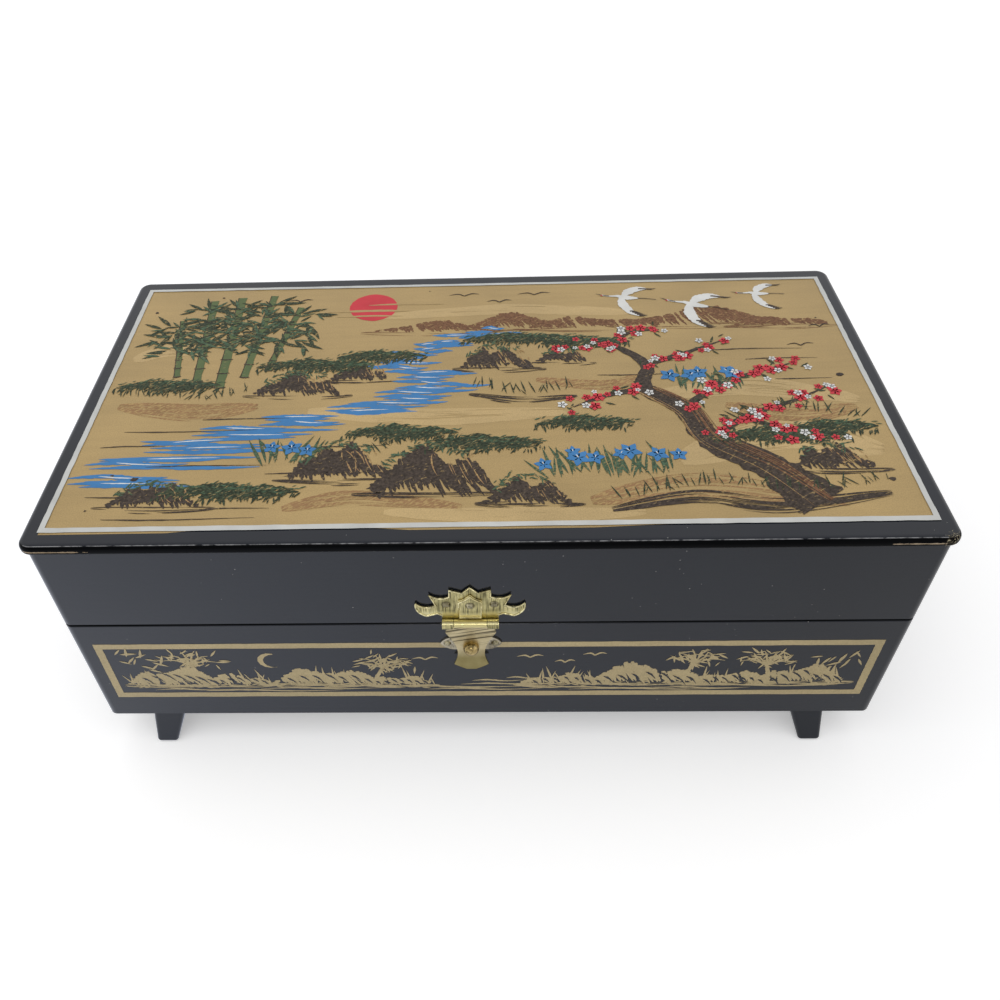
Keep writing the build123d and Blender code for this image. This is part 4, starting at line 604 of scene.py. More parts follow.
class Paint:
    """Flat marks of one colour, in millimetres."""

    def __init__(self, name, seed):
        self.name = name
        self.random = random.Random(seed)
        self.points = []
        self.faces = []
        self.marks = 0

    def put(self, points):
        """Add the points of the newest mark and give the number of the first."""
        start = len(self.points)
        lift = self.marks % LIFT_STEPS * LIFT
        self.points += [(p[0] * MM, p[1] * MM, lift) for p in points]
        return start

    def patch(self, outline):
        self.marks += 1
        start = self.put(outline)
        self.faces.append(list(range(start, start + len(outline))))

    def ribbon(self, line, widths, rough):
        """A brush mark along a line; widths are spread evenly over it."""
        self.marks += 1
        last = len(line) - 1
        edges = []
        for i, here in enumerate(line):
            spot = i / last * (len(widths) - 1)
            low = min(int(spot), len(widths) - 2)
            half = (widths[low] + (widths[low + 1] - widths[low]) * (spot - low)) / 2
            side = across(line, i)
            for way in (1, -1):
                edges.append(here + side * way * half * (1 + rough * self.random.uniform(-1, 1)))
        start = self.put(edges)
        for k in range(start, start + 2 * last, 2):
            self.faces.append([k, k + 1, k + 3, k + 2])

    def stroke(self, points, widths, rough=0.1):
        self.ribbon(smooth_line(points), widths, rough)

    def dry_brush(self, points, width, hairs, cover, hair):
        """Many thin marks side by side, with gaps, as from a brush that is nearly out of paint."""
        line = smooth_line(points, 14)
        last = len(line) - 1
        for h in range(hairs):
            side = (h / max(hairs - 1, 1) - 0.5) * width + self.random.uniform(-1, 1) * width / hairs
            at = 0
            while at < last - 2:
                stop = min(at + max(3, int(last * self.random.uniform(0.15, 0.7))), last)
                if self.random.random() < cover and stop - at > 2:
                    part = [line[i] + across(line, i) * side * (0.3 + 0.7 * math.sin(math.pi * i / last))
                            for i in range(at, stop + 1)]
                    thick = hair * self.random.uniform(0.5, 1.5)
                    self.ribbon(part, [thick * 0.2, thick, thick * 0.8, thick * 0.1], 0.2)
                at = stop + self.random.randint(0, 3)

    def blot(self, place, half_w, half_h, rough, corners):
        """A rounded patch with an uneven edge."""
        outline = []
        for i in range(corners):
            angle = 2 * math.pi * i / corners
            reach = 1 + rough * self.random.uniform(-1, 1)
            x, y = half_w * reach * math.cos(angle), half_h * reach * math.sin(angle)
            outline.append((place[0] + x, place[1] + y))
        self.patch(outline)

    def mass(self, place, width, height, slant, gaps, humps=2.3):
        """A rock or hill of many strokes side by side, full at the top and ragged at the foot."""
        count = max(8, int(width / 1.1))
        phase = self.random.uniform(0, 6)
        for k in range(count):
            share = (k + 0.5) / count
            dome = (1 - abs(2 * share - 1) ** 2.2) * (0.78 + 0.22 * math.sin(humps * 6.28 * share + phase))
            top = height * dome * self.random.uniform(0.88, 1.06)
            if top < 0.6 or self.random.random() < gaps:
                continue
            x, y = place[0] + (share - 0.5) * width, place[1] + top
            drop = top + height * self.random.uniform(-0.1, 0.14)
            thick = width / count * self.random.uniform(1.3, 2.3)
            bend = drop * slant * (0.4 + share)
            self.stroke([(x, y), (x + bend * 0.4, y - drop * 0.5), (x + bend, y - drop)],
                        [thick * 0.5, thick, thick * 0.9, thick * 0.6, thick * 0.12], 0.35)

    def bird(self, x, y, size, rises, root, width):
        """Two curved strokes; the rises are those of the left tip, the two bends and the right tip."""
        tip, bend, other_bend, other_tip = rises
        self.stroke([(x - size, y + tip), (x - size * 0.4, y + bend), (x, y)], [0.1, width, root])
        self.stroke([(x, y), (x + size * 0.5, y + other_bend), (x + size, y + other_tip)], [root, width, 0.1])

    def mesh(self):
        data = bpy.data.meshes.new(self.name)
        data.from_pydata(self.points, [], self.faces)
        return data

    def lay(self, finish, place):
        lay(self.mesh(), finish, *place)


print("a brush can", ", ".join(methods(Paint)))

# %% [markdown]
# ## Touches along a line
# Leaves, blossoms, grass and reeds are one small touch of the brush, made again and again along a line.
# That is work for Geometry Nodes: a curve is cut into points at an even gap, each point is moved, turned and
# scaled a little at random, and one touch is set on it. The seed is fixed, so the painting never changes.

# %% Helpers for geometry trees
class Grower(Tree):
    """A geometry tree with named inputs, which turns lines into a painted mesh."""

    def __init__(self, name, **inputs):
        super().__init__(bpy.data.node_groups.new(name, "GeometryNodeTree"))
        self.socket("Lines", "Geometry")
        self.keys = {label: self.socket(label, kind) for label, kind in inputs.items()}
        self.socket("Result", "Geometry", "OUTPUT")
        self.entry = self.add("NodeGroupInput")
        self.curve = self.add("GeometryNodeMeshToCurve", {0: self.given("Lines")})

    def socket(self, label, kind, way="INPUT"):
        return self.tree.interface.new_socket(label, in_out=way, socket_type="NodeSocket" + kind).identifier

    def given(self, label):
        return self.entry, label

    def chance(self, kind, low, high, seed):
        return self.add("FunctionNodeRandomValue", {"Min": low, "Max": high, "Seed": seed}, data_type=kind)

    def close(self, result):
        """End the tree: make the instances real, give them their finish and put them out."""
        real = self.add("GeometryNodeRealizeInstances", {0: result})
        painted = self.add("GeometryNodeSetMaterial", {"Geometry": real, "Material": self.given("Finish")})
        self.add("NodeGroupOutput", {0: painted})

    def run(self, name, holder, **values):
        """Run the tree on an object and keep the result as a plain mesh; the object goes."""
        grown = holder.modifiers.new("nodes", "NODES")
        grown.node_group = self.tree
        for label, value in values.items():
            grown[self.keys[label]] = value
        seen = holder.evaluated_get(bpy.context.evaluated_depsgraph_get())
        data = bpy.data.meshes.new_from_object(seen)
        data.name = name
        bpy.data.objects.remove(holder)
        return data


print("a grower can also", ", ".join(methods(Grower)))

# %% The tree of touches
def make_touches_tree():
    tree = Grower("touches_along_lines", Touch="Object", Gap="Float", Spread="Float", Smallest="Float",
                  Largest="Float", Lean="Float", Swing="Float", Seed="Int", Finish="Material")
    seed, lean, swing = tree.given("Seed"), tree.given("Lean"), tree.given("Swing")
    gaps = {"Curve": tree.curve, "Length": tree.given("Gap")}
    spots = tree.add("GeometryNodeCurveToPoints", gaps, mode="LENGTH")
    stray = tree.chance("FLOAT_VECTOR", (-1, -1, 0), (1, 1, 0), seed)
    shift = tree.vector("SCALE", stray, tree.given("Spread"))
    step = tree.math("MODULO", tree.add("GeometryNodeInputIndex"), float(LIFT_STEPS))
    lift = tree.add("ShaderNodeCombineXYZ", {"Z": tree.math("MULTIPLY", step, LIFT)})
    offset = tree.vector("ADD", shift, lift)
    moved = tree.add("GeometryNodeSetPosition", {"Geometry": spots, "Offset": offset})
    ahead = tree.split((spots, "Tangent"))
    heading = tree.math("ARCTAN2", (ahead, "Y"), (ahead, "X"))
    tilt = tree.chance("FLOAT", tree.math("SUBTRACT", lean, swing), tree.math("ADD", lean, swing),
                       tree.math("ADD", seed, 17.0))
    turn = tree.add("ShaderNodeCombineXYZ", {"Z": tree.math("ADD", heading, tilt)})
    size = tree.chance("FLOAT", tree.given("Smallest"), tree.given("Largest"), seed)
    touch = tree.add("GeometryNodeObjectInfo", {"Object": tree.given("Touch")})
    tree.close(tree.add("GeometryNodeInstanceOnPoints", {
        "Points": moved, "Instance": (touch, "Geometry"), "Rotation": turn, "Scale": size}))
    return tree


def edges_object(name, lines):
    """A mesh of bare edges along lines of points in metres."""
    points, edges = [], []
    for line in lines:
        start = len(points)
        points += line
        edges += [(start + i, start + i + 1) for i in range(len(line) - 1)]
    data = bpy.data.meshes.new(name + "_lines")
    data.from_pydata(points, edges, [])
    holder = bpy.data.objects.new(name + "_lines", data)
    bpy.context.collection.objects.link(holder)
    return holder


TOUCHES = make_touches_tree()
print("inputs of the tree of touches:", list(TOUCHES.keys))

# %% The touches themselves
def touch_shape(name, outlines):
    """A small flat shape, from outlines in millimetres, for the tree to repeat."""
    shape = Paint(name, 0)
    for outline in outlines:
        shape.patch(outline)
    data = shape.mesh()
    for point in data.vertices:
        point.co.z = 0
    holder = bpy.data.objects.new(name, data)
    bpy.context.collection.objects.link(holder)
    return holder


def leaf_outline(length, width, turn=0.0):
    """A leaf that starts at the origin and points along a turn."""
    shares = [(0, 0.1), (0.2, 0.7), (0.45, 1), (0.75, 0.6), (1, 0), (0.75, -0.6), (0.45, -1), (0.2, -0.7)]
    spin = Matrix.Rotation(turn, 2)
    return [spin @ Vector((length * a, width / 2 * b)) for a, b in shares]


LEAF = touch_shape("leaf_touch", [leaf_outline(9, 1.7)])
NEEDLE = touch_shape("needle_touch", [leaf_outline(3.4, 0.75)])
BLADE = touch_shape("blade_touch", [leaf_outline(13, 1.1)])
BLOSSOM = touch_shape("blossom_touch", [leaf_outline(2.1, 1.7, 2 * math.pi * i / 5) for i in range(5)])
IRIS = touch_shape("iris_touch", [leaf_outline(3.8, 2.4, turn) for turn in (0.4, 1.57, 2.74, -0.9, -2.24)])
UPRIGHT = 1.57


def touches(name, lines, touch, finish, place, gap, spread, sizes, lean, swing, seed):
    """Set touches along smooth lines given in millimetres, and lay them on the box."""
    paths = [[(p[0] * MM, p[1] * MM, 0) for p in smooth_line(line)] for line in lines]
    data = TOUCHES.run(name, edges_object(name, paths), Touch=touch, Gap=gap * MM, Spread=spread * MM,
                       Smallest=sizes[0], Largest=sizes[1], Lean=lean, Swing=swing, Seed=seed, Finish=finish)
    lay(data, finish, *place)


print("faces of a blossom:", len(BLOSSOM.data.polygons))

# %% [markdown]
# ## Paint finishes
# The gold is metal powder in varnish: satin, a little metallic, and grainy up close.
# The colours over it are thin: where the brush ran dry, some gold shows through, and the greens and
# the browns are uneven, as a dabbed brush leaves them.

# %% Gold and colours
GOLD = (0.456, 0.320, 0.139)
PITTED = (0.10, 0.07, 0.035)
PAINT_GLOSS = 0.45


def tinted(colour, share):
    """A lighter or darker tone of a colour."""
    return tuple(min(1, c * share) for c in colour)


def make_gold(name, colour):
    gold = Finish(name, Metallic=0.2, IOR=1.4)
    cloud = gold.noise(16, 4, 0.55)
    grain = gold.noise(2600, 2, 0.6)
    sweep = gold.noise(1.0, 4, 0.6, gold.stretch((25, 420, 420), (0, 0, 0.04)))
    tone = gold.ramp(cloud, (0.36, tinted(colour, 0.90)), (0.5, colour), (0.66, tinted(colour, 1.10)))
    shade = gold.times(tone, gold.ramp(grain, (0.3, 0.78), (0.62, 1.0)))
    shade = gold.times(shade, gold.ramp(sweep, (0.3, 0.9), (0.6, 1.0)), 0.6)
    pits = gold.ramp(gold.noise(700, 4, 0.7), (0.70, 0.0), (0.76, 0.6))
    gold.set(Base_Color=gold.mix(pits, shade, PITTED))
    gold.rough(cloud, 0.38, 0.52)
    gold.bump(grain, 0.12, 0.00008)
    return gold.material


def make_paint(name, colour, thin, mottle=0.0):
    """Brushed colour; thin is the level of streaky noise above which the gold shows,
    and mottle says how uneven the colour is where a dry brush was dabbed."""
    paint = Finish(name, IOR=1.4, Specular_IOR_Level=0.22)
    streak = paint.noise(1.0, 5, 0.65, paint.stretch((500, 1500, 1500), (0, 0, 0.5)))
    tone = paint.mix(paint.noise(120, 4), tinted(colour, 0.78), tinted(colour, 1.2))
    if mottle:
        tone = paint.times(tone, paint.span(paint.noise(1000, 3, 0.6), 0.38, 0.62, 1 - mottle, 1 + mottle))
    gap = paint.ramp(streak, (thin, 0.0), (thin + 0.1, 0.85))
    paint.set(Base_Color=paint.mix(gap, tone, GOLD))
    paint.rough(streak, PAINT_GLOSS, PAINT_GLOSS + 0.2)
    paint.bump(streak, 0.25, 0.00012)
    return paint.material


gold_ground = make_gold("gold_ground", GOLD)
gold_line = make_gold("gold_line", (0.50, 0.40, 0.215))
pale_gold = make_gold("pale_gold", (0.55, 0.395, 0.185))
white_line = make_paint("white_line", (0.56, 0.565, 0.545), 0.68)
brown_ink = make_paint("brown_ink", (0.054, 0.041, 0.033), 0.60, 0.4)
brown_wash = make_paint("brown_wash", (0.165, 0.082, 0.044), 0.56, 0.3)
thin_wash = make_paint("thin_wash", (0.30, 0.175, 0.085), 0.48)
dark_green = make_paint("dark_green", (0.034, 0.046, 0.027), 0.565, 0.5)
moss_green = make_paint("moss_green", (0.060, 0.100, 0.060), 0.57, 0.4)
stem_green = make_paint("stem_green", (0.105, 0.140, 0.062), 0.62)
sky_blue = make_paint("sky_blue", (0.062, 0.205, 0.44), 0.68)
warm_red = make_paint("warm_red", (0.56, 0.055, 0.07), 0.69)
chalk_white = make_paint("chalk_white", (0.68, 0.68, 0.66), 0.68)
print("colour of the gold ground:", GOLD)

# %% [markdown]
# ## The gold panel and its white line
# The panel is a flat field of gold on the lid's top. A ruled white line runs round it, broadest at the front,
# where it lies slightly askew and some gold shows outside it.
# The line is one closed band with mitred corners, so its strips never lie on top of each other.

# %% Panel and line
PANEL = (-136.1, 136.4, -68.75, 69.1)
LINE_WIDTHS = (2.0, 1.7, 1.5, 1.8)
LINE_ASKEW = 0.65
WAVER = 0.09
RING_STEPS = 60


def ring(name, box, widths, seed, askew=0.0):
    """A ruled frame with mitred corners, whose edges waver slightly. The widths are those of the front,
    right, back and left side, and the front side may lie askew."""
    x0, x1, y0, y1 = box
    front, right, back, left = widths
    corners = [(x0, y0 - askew), (x1, y0 + askew), (x1, y1), (x0, y1)]
    inner = [(x0 + left, y0 - askew + front), (x1 - right, y0 + askew + front),
             (x1 - right, y1 - back), (x0 + left, y1 - back)]
    band = Paint(name, seed)
    rows = []
    for k in range(4):
        a, b = Vector(corners[k]), Vector(corners[(k + 1) % 4])
        c, d = Vector(inner[k]), Vector(inner[(k + 1) % 4])
        inward = ((c - a) - (c - a).project(b - a)).normalized()
        for i in range(RING_STEPS):
            for start, end in ((a, b), (c, d)):
                waver = band.random.uniform(-1, 1) * WAVER
                rows.append(start.lerp(end, i / RING_STEPS) + inward * waver)
    band.put(rows)
    count = len(rows)
    band.faces = [[k, k + 1, (k + 3) % count, (k + 2) % count] for k in range(0, count, 2)]
    return band


field = Paint("lid_gold_field", 1)
field.patch([(-135.6, -70.1), (-96, -69.9), (-84, -68.5), (-36, -68.4), (-22, -69.6), (34, -69.4),
             (62, -68.0), (135.5, -67.4), (135.5, 68.4), (-135.5, 68.4)])
field.lay(gold_ground, on_lid(1))
ring("lid_white_line", PANEL, LINE_WIDTHS, 2, LINE_ASKEW).lay(white_line, on_lid(9))

# %% [markdown]
# ## The lid's landscape
# The painting is a free design in the manner of such boxes: a bamboo grove and a red sun on the left,
# a blue stream between boulders, irises, a leaning blossom tree on the right, cranes over far hills.
# It goes from far to near, as a painter works: washes, water, dark ink, greens, then white and red on top.

# %% Far hills and washes
FAR_HILLS = ((-18, 36, 46, 7), (14, 38, 40, 10), (44, 37, 52, 8), (84, 38, 60, 12), (114, 36, 36, 7))
hills = Paint("far_hills", 11)
for x, y, width, height in FAR_HILLS:
    hills.mass((x, y), width, height, 0.5, 0.22, 1.4)
    hills.dry_brush([(x - width * 0.6, y - 1), (x, y - 2), (x + width * 0.6, y - 1)], 3.0, 7, 0.5, 0.35)
hills.lay(brown_wash, on_lid(2))


def sweeps(name, seed, finish, marks, hairs, cover, hair):
    """Broad dry sweeps of one colour; each mark is a width and a line."""
    paint = Paint(name, seed)
    for width, line in marks:
        paint.dry_brush(line, width, hairs, cover, hair)
    paint.lay(finish, on_lid(2))


WASHES = ((9, [(-128, -8), (-100, -12), (-78, -9)]), (11, [(34, -58), (70, -52), (112, -60)]),
          (9, [(84, -12), (106, -18), (128, -14)]), (7, [(-62, -60), (-40, -55), (-6, -60)]),
          (6, [(20, 4), (44, 0), (60, 6)]))
SANDS = ((16, [(64, -40), (98, -28), (130, -36)]), (10, [(60, -6), (96, -2), (130, -10)]),
         (9, [(-60, -12), (-20, -16), (30, -14)]), (8, [(-130, 20), (-118, 26), (-104, 24)]),
         (7, [(-40, 46), (10, 50), (60, 46)]), (6, [(-30, -62), (10, -64), (50, -63)]))
sweeps("earth_washes", 12, thin_wash, WASHES, 26, 0.75, 0.6)
sweeps("pale_sands", 18, pale_gold, SANDS, 30, 0.8, 1.1)

# %% Stream and ripples
STREAM = [(6, 34, 16), (-4, 30, 18), (-14, 25, 20), (-24, 19, 20), (-26, 13, 24), (-16, 7, 26), (-10, 1, 30),
          (-18, -5, 34), (-32, -11, 38), (-50, -17, 44), (-68, -23, 50), (-84, -30, 56), (-96, -38, 60),
          (-104, -47, 50)]
stream = Paint("stream", 13)
ripples = Paint("ripples", 14)
for x, y, length in STREAM:
    for k in range(4):
        start = x - length / 2 + stream.random.uniform(-6, 6)
        run = length * stream.random.uniform(0.5, 1.0)
        rise = y + (k - 1.5) * 1.7 + stream.random.uniform(-0.5, 0.5)
        sway = stream.random.uniform(-0.9, 0.9)
        stream.stroke([(start, rise), (start + run * 0.35, rise + sway),
                       (start + run * 0.7, rise - sway * 0.6), (start + run, rise)],
                      [0.15, 1.9, 2.2, 1.4, 0.1], 0.22)
        if k % 2:
            ripples.stroke([(start + run * 0.3, rise + sway), (start + run * 0.5, rise),
                            (start + run * 0.75, rise - sway * 0.5)], [0.05, 0.5, 0.4, 0.05], 0.3)
stream.lay(sky_blue, on_lid(3))
ripples.lay(chalk_white, on_lid(4))

# %% Boulders and shrubs
SHOULDER = (-0.42, 0.5), (-0.1, 0.96), (0.28, 0.78)
GLINT = (0, 0.74), (0.06, 0.45), (0.12, 0.12)
TUFT_RISES = (-0.2, 0.12, -0.1), (-0.3, -0.05, -0.25)
ink = Paint("ink_drawing", 15)
glint = Paint("boulder_glints", 16)
shrubs = Paint("shrubs", 17)
MOSS_LINES, NEEDLE_LINES = [], []


def boulder(x, y, width, height):
    """A dark brush mass with a reddish light down its right side and moss on its shoulder."""
    ink.mass((x, y), width, height, 0.4, 0.07)
    ink.mass((x - width * 0.12, y + height * 0.1), width * 0.6, height * 0.8, 0.2, 0.05)
    ink.dry_brush([(x - width * 0.62, y - 1), (x, y - 2), (x + width * 0.7, y - 1.5)], 3.0, 7, 0.5, 0.45)
    for k in range(4):
        top = x + width * (0.02 + 0.1 * k)
        run = [(top + width * out, y + height * up) for out, up in GLINT]
        glint.dry_brush(run, width * 0.08, 3, 0.5, 0.4)
    MOSS_LINES.append([(x + width * out, y + height * up) for out, up in SHOULDER])


def shrub(x, y, width, height):
    """Long flat tufts of dark green; the needles are set along their edges later."""
    for k in range(4):
        middle = x + (k - 1.5) * width * 0.2
        rise = y + height * 0.28 * math.sin(k * 2.1)
        reach = width * (0.36 - 0.04 * (k % 2))
        top, edge = ([(middle + reach * side, rise + height * up) for side, up in zip((-1, 0, 1), rises)]
                     for rises in TUFT_RISES)
        shrubs.stroke(top, [0.5, height * 0.55, height * 0.7, height * 0.45, 0.4], 0.3)
        NEEDLE_LINES.append(edge)


for stone in ((-46, -46, 34, 17), (-16, -53, 40, 24), (14, -58, 26, 12), (-66, -2, 30, 13), (-44, 6, 20, 10),
              (6, 12, 26, 14), (30, 15, 18, 8), (-104, -58, 30, 11), (112, -44, 26, 12)):
    boulder(*stone)
for tuft in ((-60, 15, 34, 6), (-36, 20, 26, 5), (16, 30, 34, 5), (40, 27, 26, 5), (-80, -52, 36, 6),
             (-26, -24, 30, 6), (2, -30, 30, 6), (100, -28, 34, 6), (118, -24, 22, 5), (-112, 4, 30, 5),
             (36, -20, 26, 5)):
    shrub(*tuft)
print(len(MOSS_LINES), "boulders and", len(NEEDLE_LINES), "edges of shrubs")

# %% Banks, mist lines, birds and spots
ink.dry_brush([(40, -62), (66, -57), (92, -61), (126, -56)], 6.5, 16, 0.6, 0.6)
ink.dry_brush([(-4, -4), (14, -8), (34, -6)], 4.5, 10, 0.55, 0.5)
for x, y, length in ((-122, -22, 46), (-96, -16, 30), (-70, -44, 34), (-128, -30, 22), (-110, -40, 40),
                     (-58, -31, 26), (-126, -54, 36), (-118, -64, 48), (42, 6, 30), (-88, -60, 22),
                     (84, 20, 34), (96, 14, 26), (104, 2, 20)):
    ink.stroke([(x, y), (x + length * 0.4, y + ink.random.uniform(-0.6, 0.6)), (x + length, y + 0.3)],
               [0.15, 0.55, 0.35, 0.1], 0.3)
for x, y, size in ((-6, 60, 6), (8, 55, 5), (22, 60, 6.5), (-72, 58, 5), (118, 22, 5), (128, 34, 4)):
    ink.bird(x, y, size, (0.6, 1.4, 1.6, 1.2), 0.5, 0.6)
for x, y, size in ((-112, -46, 1.3), (-120, -44, 0.6), (-124, -60, 0.4), (127, 4, 1.2), (128, -50, 1.1),
                   (128, 40, 0.4), (-129, 52, 0.8), (96, -64, 0.6), (-104, 62, 0.6), (60, 61, 0.4),
                   (-20, 64, 0.4)):
    ink.blot((x, y), size, size * 0.8, 0.3, 9)
ink.lay(brown_ink, on_lid(5))
glint.lay(thin_wash, on_lid(6))

# %% [markdown]
# The shrubs are the darkest green, and the boulders carry moss. The soft fringe of both is a row of needles
# set by the tree of touches, because hundreds of them are alike.

# %% Shrubs and needles
LIGHT_LINES = [[(x, y + 2.2) for x, y in line] for line in NEEDLE_LINES]
shrubs.lay(dark_green, on_lid(6))
touches("shrub_needles", NEEDLE_LINES, NEEDLE, dark_green, on_lid(7), 0.7, 0.8, (0.6, 1.2), -1.9, 0.6, 21)
touches("moss", MOSS_LINES, NEEDLE, moss_green, on_lid(7), 0.55, 1.3, (0.5, 1.0), -0.4, 1.2, 22)
touches("shrub_lights", LIGHT_LINES, NEEDLE, moss_green, on_lid(7), 1.3, 0.8, (0.4, 0.8), 0.3, 0.5, 23)

# %% [markdown]
# ## Bamboo and irises
# A bamboo stalk is a row of short ribbons with a dark ring at each joint. The leaves hang from thin twigs.
# The irises stand in the wet ground: blades from the tree of touches, and blue flowers over them.

# %% Bamboo
JOINTS = 7
stalks = Paint("bamboo_stalks", 31)
rings = Paint("bamboo_rings", 32)
TWIGS = []
for foot, top, width in (((-103, 6), (-107, 60), 3.0), ((-94, 2), (-96, 62), 3.4), ((-86, 8), (-83, 63), 2.8),
                         ((-78, 12), (-71, 54), 2.4), ((-111, 9), (-117, 46), 2.2)):
    a, b = Vector(foot), Vector(top)
    for k in range(JOINTS):
        low, high = a.lerp(b, (k + 0.03) / JOINTS), a.lerp(b, (k + 0.97) / JOINTS)
        stalks.ribbon([low.lerp(high, s / 4) for s in range(5)],
                      [width * 1.1, width * 0.9, width * 0.9, width * 1.1], 0.05)
        side = across([low, high], 0)
        rings.stroke([low + side * width * 0.7, low - Vector((0, 0.3)), low - side * width * 0.7],
                     [0.3, 0.7, 0.3])
        rings.stroke([low + side * width * 0.5, high + side * width * 0.5], [0.5, 0.25, 0.4])
        if k > 2:
            for way in (-1, 1):
                TWIGS.append([low, low + Vector((way * 4, 1.5)), low + Vector((way * 8, -0.5 - k % 2 * 2))])
stalks.lay(stem_green, on_lid(5))
rings.lay(brown_ink, on_lid(6))
touches("bamboo_leaves", TWIGS, LEAF, dark_green, on_lid(7), 2.1, 0.8, (0.6, 1.15), -0.2, 0.9, 33)
touches("bamboo_light_leaves", TWIGS, LEAF, moss_green, on_lid(8), 4.6, 1.2, (0.5, 0.9), -0.3, 0.8, 34)

# %% Irises and grass
BEDS = [[(22, -48), (34, -45), (48, -47), (62, -44)], [(-72, -40), (-64, -38), (-58, -40)],
        [(70, -2), (80, -5), (92, -3)]]
FLOWERS = [[(x, y + 9) for x, y in bed] for bed in BEDS]
GRASS = [[(-130, -2), (-112, -3), (-98, -5), (-84, -1)], [(44, -57), (74, -51), (100, -55), (126, -50)],
         [(-34, -35), (-20, -28), (-4, -36)], [(84, -22), (104, -15), (128, -20)],
         [(-2, 0), (16, -4), (32, -1)]]
touches("iris_blades", BEDS, BLADE, moss_green, on_lid(6), 1.0, 1.5, (0.6, 1.2), UPRIGHT, 0.45, 41)
touches("grass", GRASS, BLADE, dark_green, on_lid(7), 1.5, 1.0, (0.25, 0.6), UPRIGHT, 0.6, 42)
touches("irises", FLOWERS, IRIS, sky_blue, on_lid(8), 5.2, 3.0, (0.75, 1.15), 0.0, 0.5, 43)
touches("iris_hearts", FLOWERS, NEEDLE, chalk_white, on_lid(9), 5.2, 3.0, (0.4, 0.6), UPRIGHT, 0.5, 43)

# %% [markdown]
# ## The blossom tree
# The trunk leans in from the front right corner. It is a broad dark stroke, with dry marks of reddish brown
# down one side and of a paler wash down the other. The blossoms gather round the branches.

# %% Trunk and branches
TRUNK = [(104, -60), (92, -44), (76, -30), (70, -14), (58, -2), (60, 12), (50, 24)]
BRANCHES = [[(76, -30), (90, -18), (108, -10), (122, -2)], [(70, -14), (84, 0), (98, 6), (114, 12)],
            [(58, -2), (44, -6), (32, -12)], [(60, 12), (74, 18), (90, 26)], [(50, 24), (38, 26), (26, 22)],
            [(50, 24), (56, 32), (68, 34)], [(90, -18), (100, -26), (116, -30)]]
trunk = Paint("tree_trunk", 51)
trunk.stroke(TRUNK, [19, 12.5, 10, 8, 6, 4.5, 2], 0.14)
for branch in BRANCHES:
    trunk.stroke(branch, [3.6, 2.4, 1.4, 0.3], 0.16)
trunk.lay(brown_ink, on_lid(6))
bark = Paint("tree_bark", 52)
bark.dry_brush([(x + 3.0, y + 1.0) for x, y in TRUNK[:5]], 5.0, 11, 0.5, 0.5)
bark.lay(brown_wash, on_lid(7))
glow = Paint("tree_glow", 53)
glow.dry_brush([(x - 3.2, y - 1.5) for x, y in TRUNK[:5]], 3.0, 6, 0.42, 0.42)
glow.lay(thin_wash, on_lid(8))

# %% Blossoms
touches("red_blossoms", BRANCHES, BLOSSOM, warm_red, on_lid(8), 2.6, 3.6, (0.7, 1.25), 0.0, 3.1, 54)
touches("white_blossoms", BRANCHES, BLOSSOM, chalk_white, on_lid(9), 5.4, 4.2, (0.5, 0.95), 0.0, 3.1, 55)
touches("tree_leaves", BRANCHES, NEEDLE, dark_green, on_lid(7), 2.2, 3.4, (0.8, 1.3), 0.0, 3.1, 56)

# %% [markdown]
# ## Sun and cranes
# The sun is a red disc with thin bars of cloud across it, in the colour of the ground.
# Each crane is a few white strokes with dark wing tips and a spot of red.

# %% Sun
sun = Paint("red_sun", 61)
sun.blot((-42, 53), 9.5, 9.5, 0.015, 48)
sun.lay(warm_red, on_lid(3))
clouds = Paint("cloud_bars", 62)
for x, y, length, width in ((-60, 50, 34, 1.5), (-44, 54.5, 30, 1.1), (-56, 46.4, 26, 1.0)):
    clouds.stroke([(x, y), (x + length * 0.5, y + 0.5), (x + length, y)], [0.2, width, width, 0.2], 0.15)
clouds.lay(gold_ground, on_lid(4))

# %% Cranes
feathers = Paint("crane_bodies", 63)
tips = Paint("crane_tips", 64)
crowns = Paint("crane_crowns", 65)
WINGS = ([(0.10, 0.03), (0.02, 0.36), (-0.20, 0.66), (-0.46, 0.82)],
         [(0.06, -0.02), (-0.04, -0.26), (-0.28, -0.46), (-0.52, -0.50)])


def crane(x, y, size, turn):
    spin = Matrix.Rotation(turn, 2)

    def at(spots):
        return [Vector((x, y)) + spin @ Vector(spot) * size for spot in spots]

    feathers.stroke(at([(-0.34, 0), (-0.05, 0.03), (0.26, 0.0)]), [0.05 * size, 0.20 * size, 0.08 * size])
    feathers.stroke(at([(0.20, 0), (0.42, 0.05), (0.62, 0.05)]), [0.09 * size, 0.055 * size, 0.05 * size])
    for wing in WINGS:
        feathers.stroke(at(wing), [0.10 * size, 0.27 * size, 0.22 * size, 0.03 * size], 0.12)
        for k in range(5):
            share = Vector(wing[2]).lerp(Vector(wing[3]), k / 4)
            tips.stroke(at([share, share + Vector((-0.10, -0.02)), share + Vector((-0.22, -0.02 * k))]),
                        [0.05 * size, 0.05 * size, 0.0])
    tips.stroke(at([(-0.32, 0), (-0.55, -0.03), (-0.80, -0.03)]), [0.03 * size, 0.02 * size, 0.02 * size])
    tips.stroke(at([(0.42, 0.05), (0.55, 0.05), (0.60, 0.05)]), [0.03 * size, 0.03 * size, 0.01])
    tips.stroke(at([(0.62, 0.05), (0.72, 0.03), (0.80, 0.02)]), [0.03 * size, 0.02 * size, 0.005])
    crowns.blot(at([(0.62, 0.075)])[0], 0.028 * size, 0.022 * size, 0.1, 9)


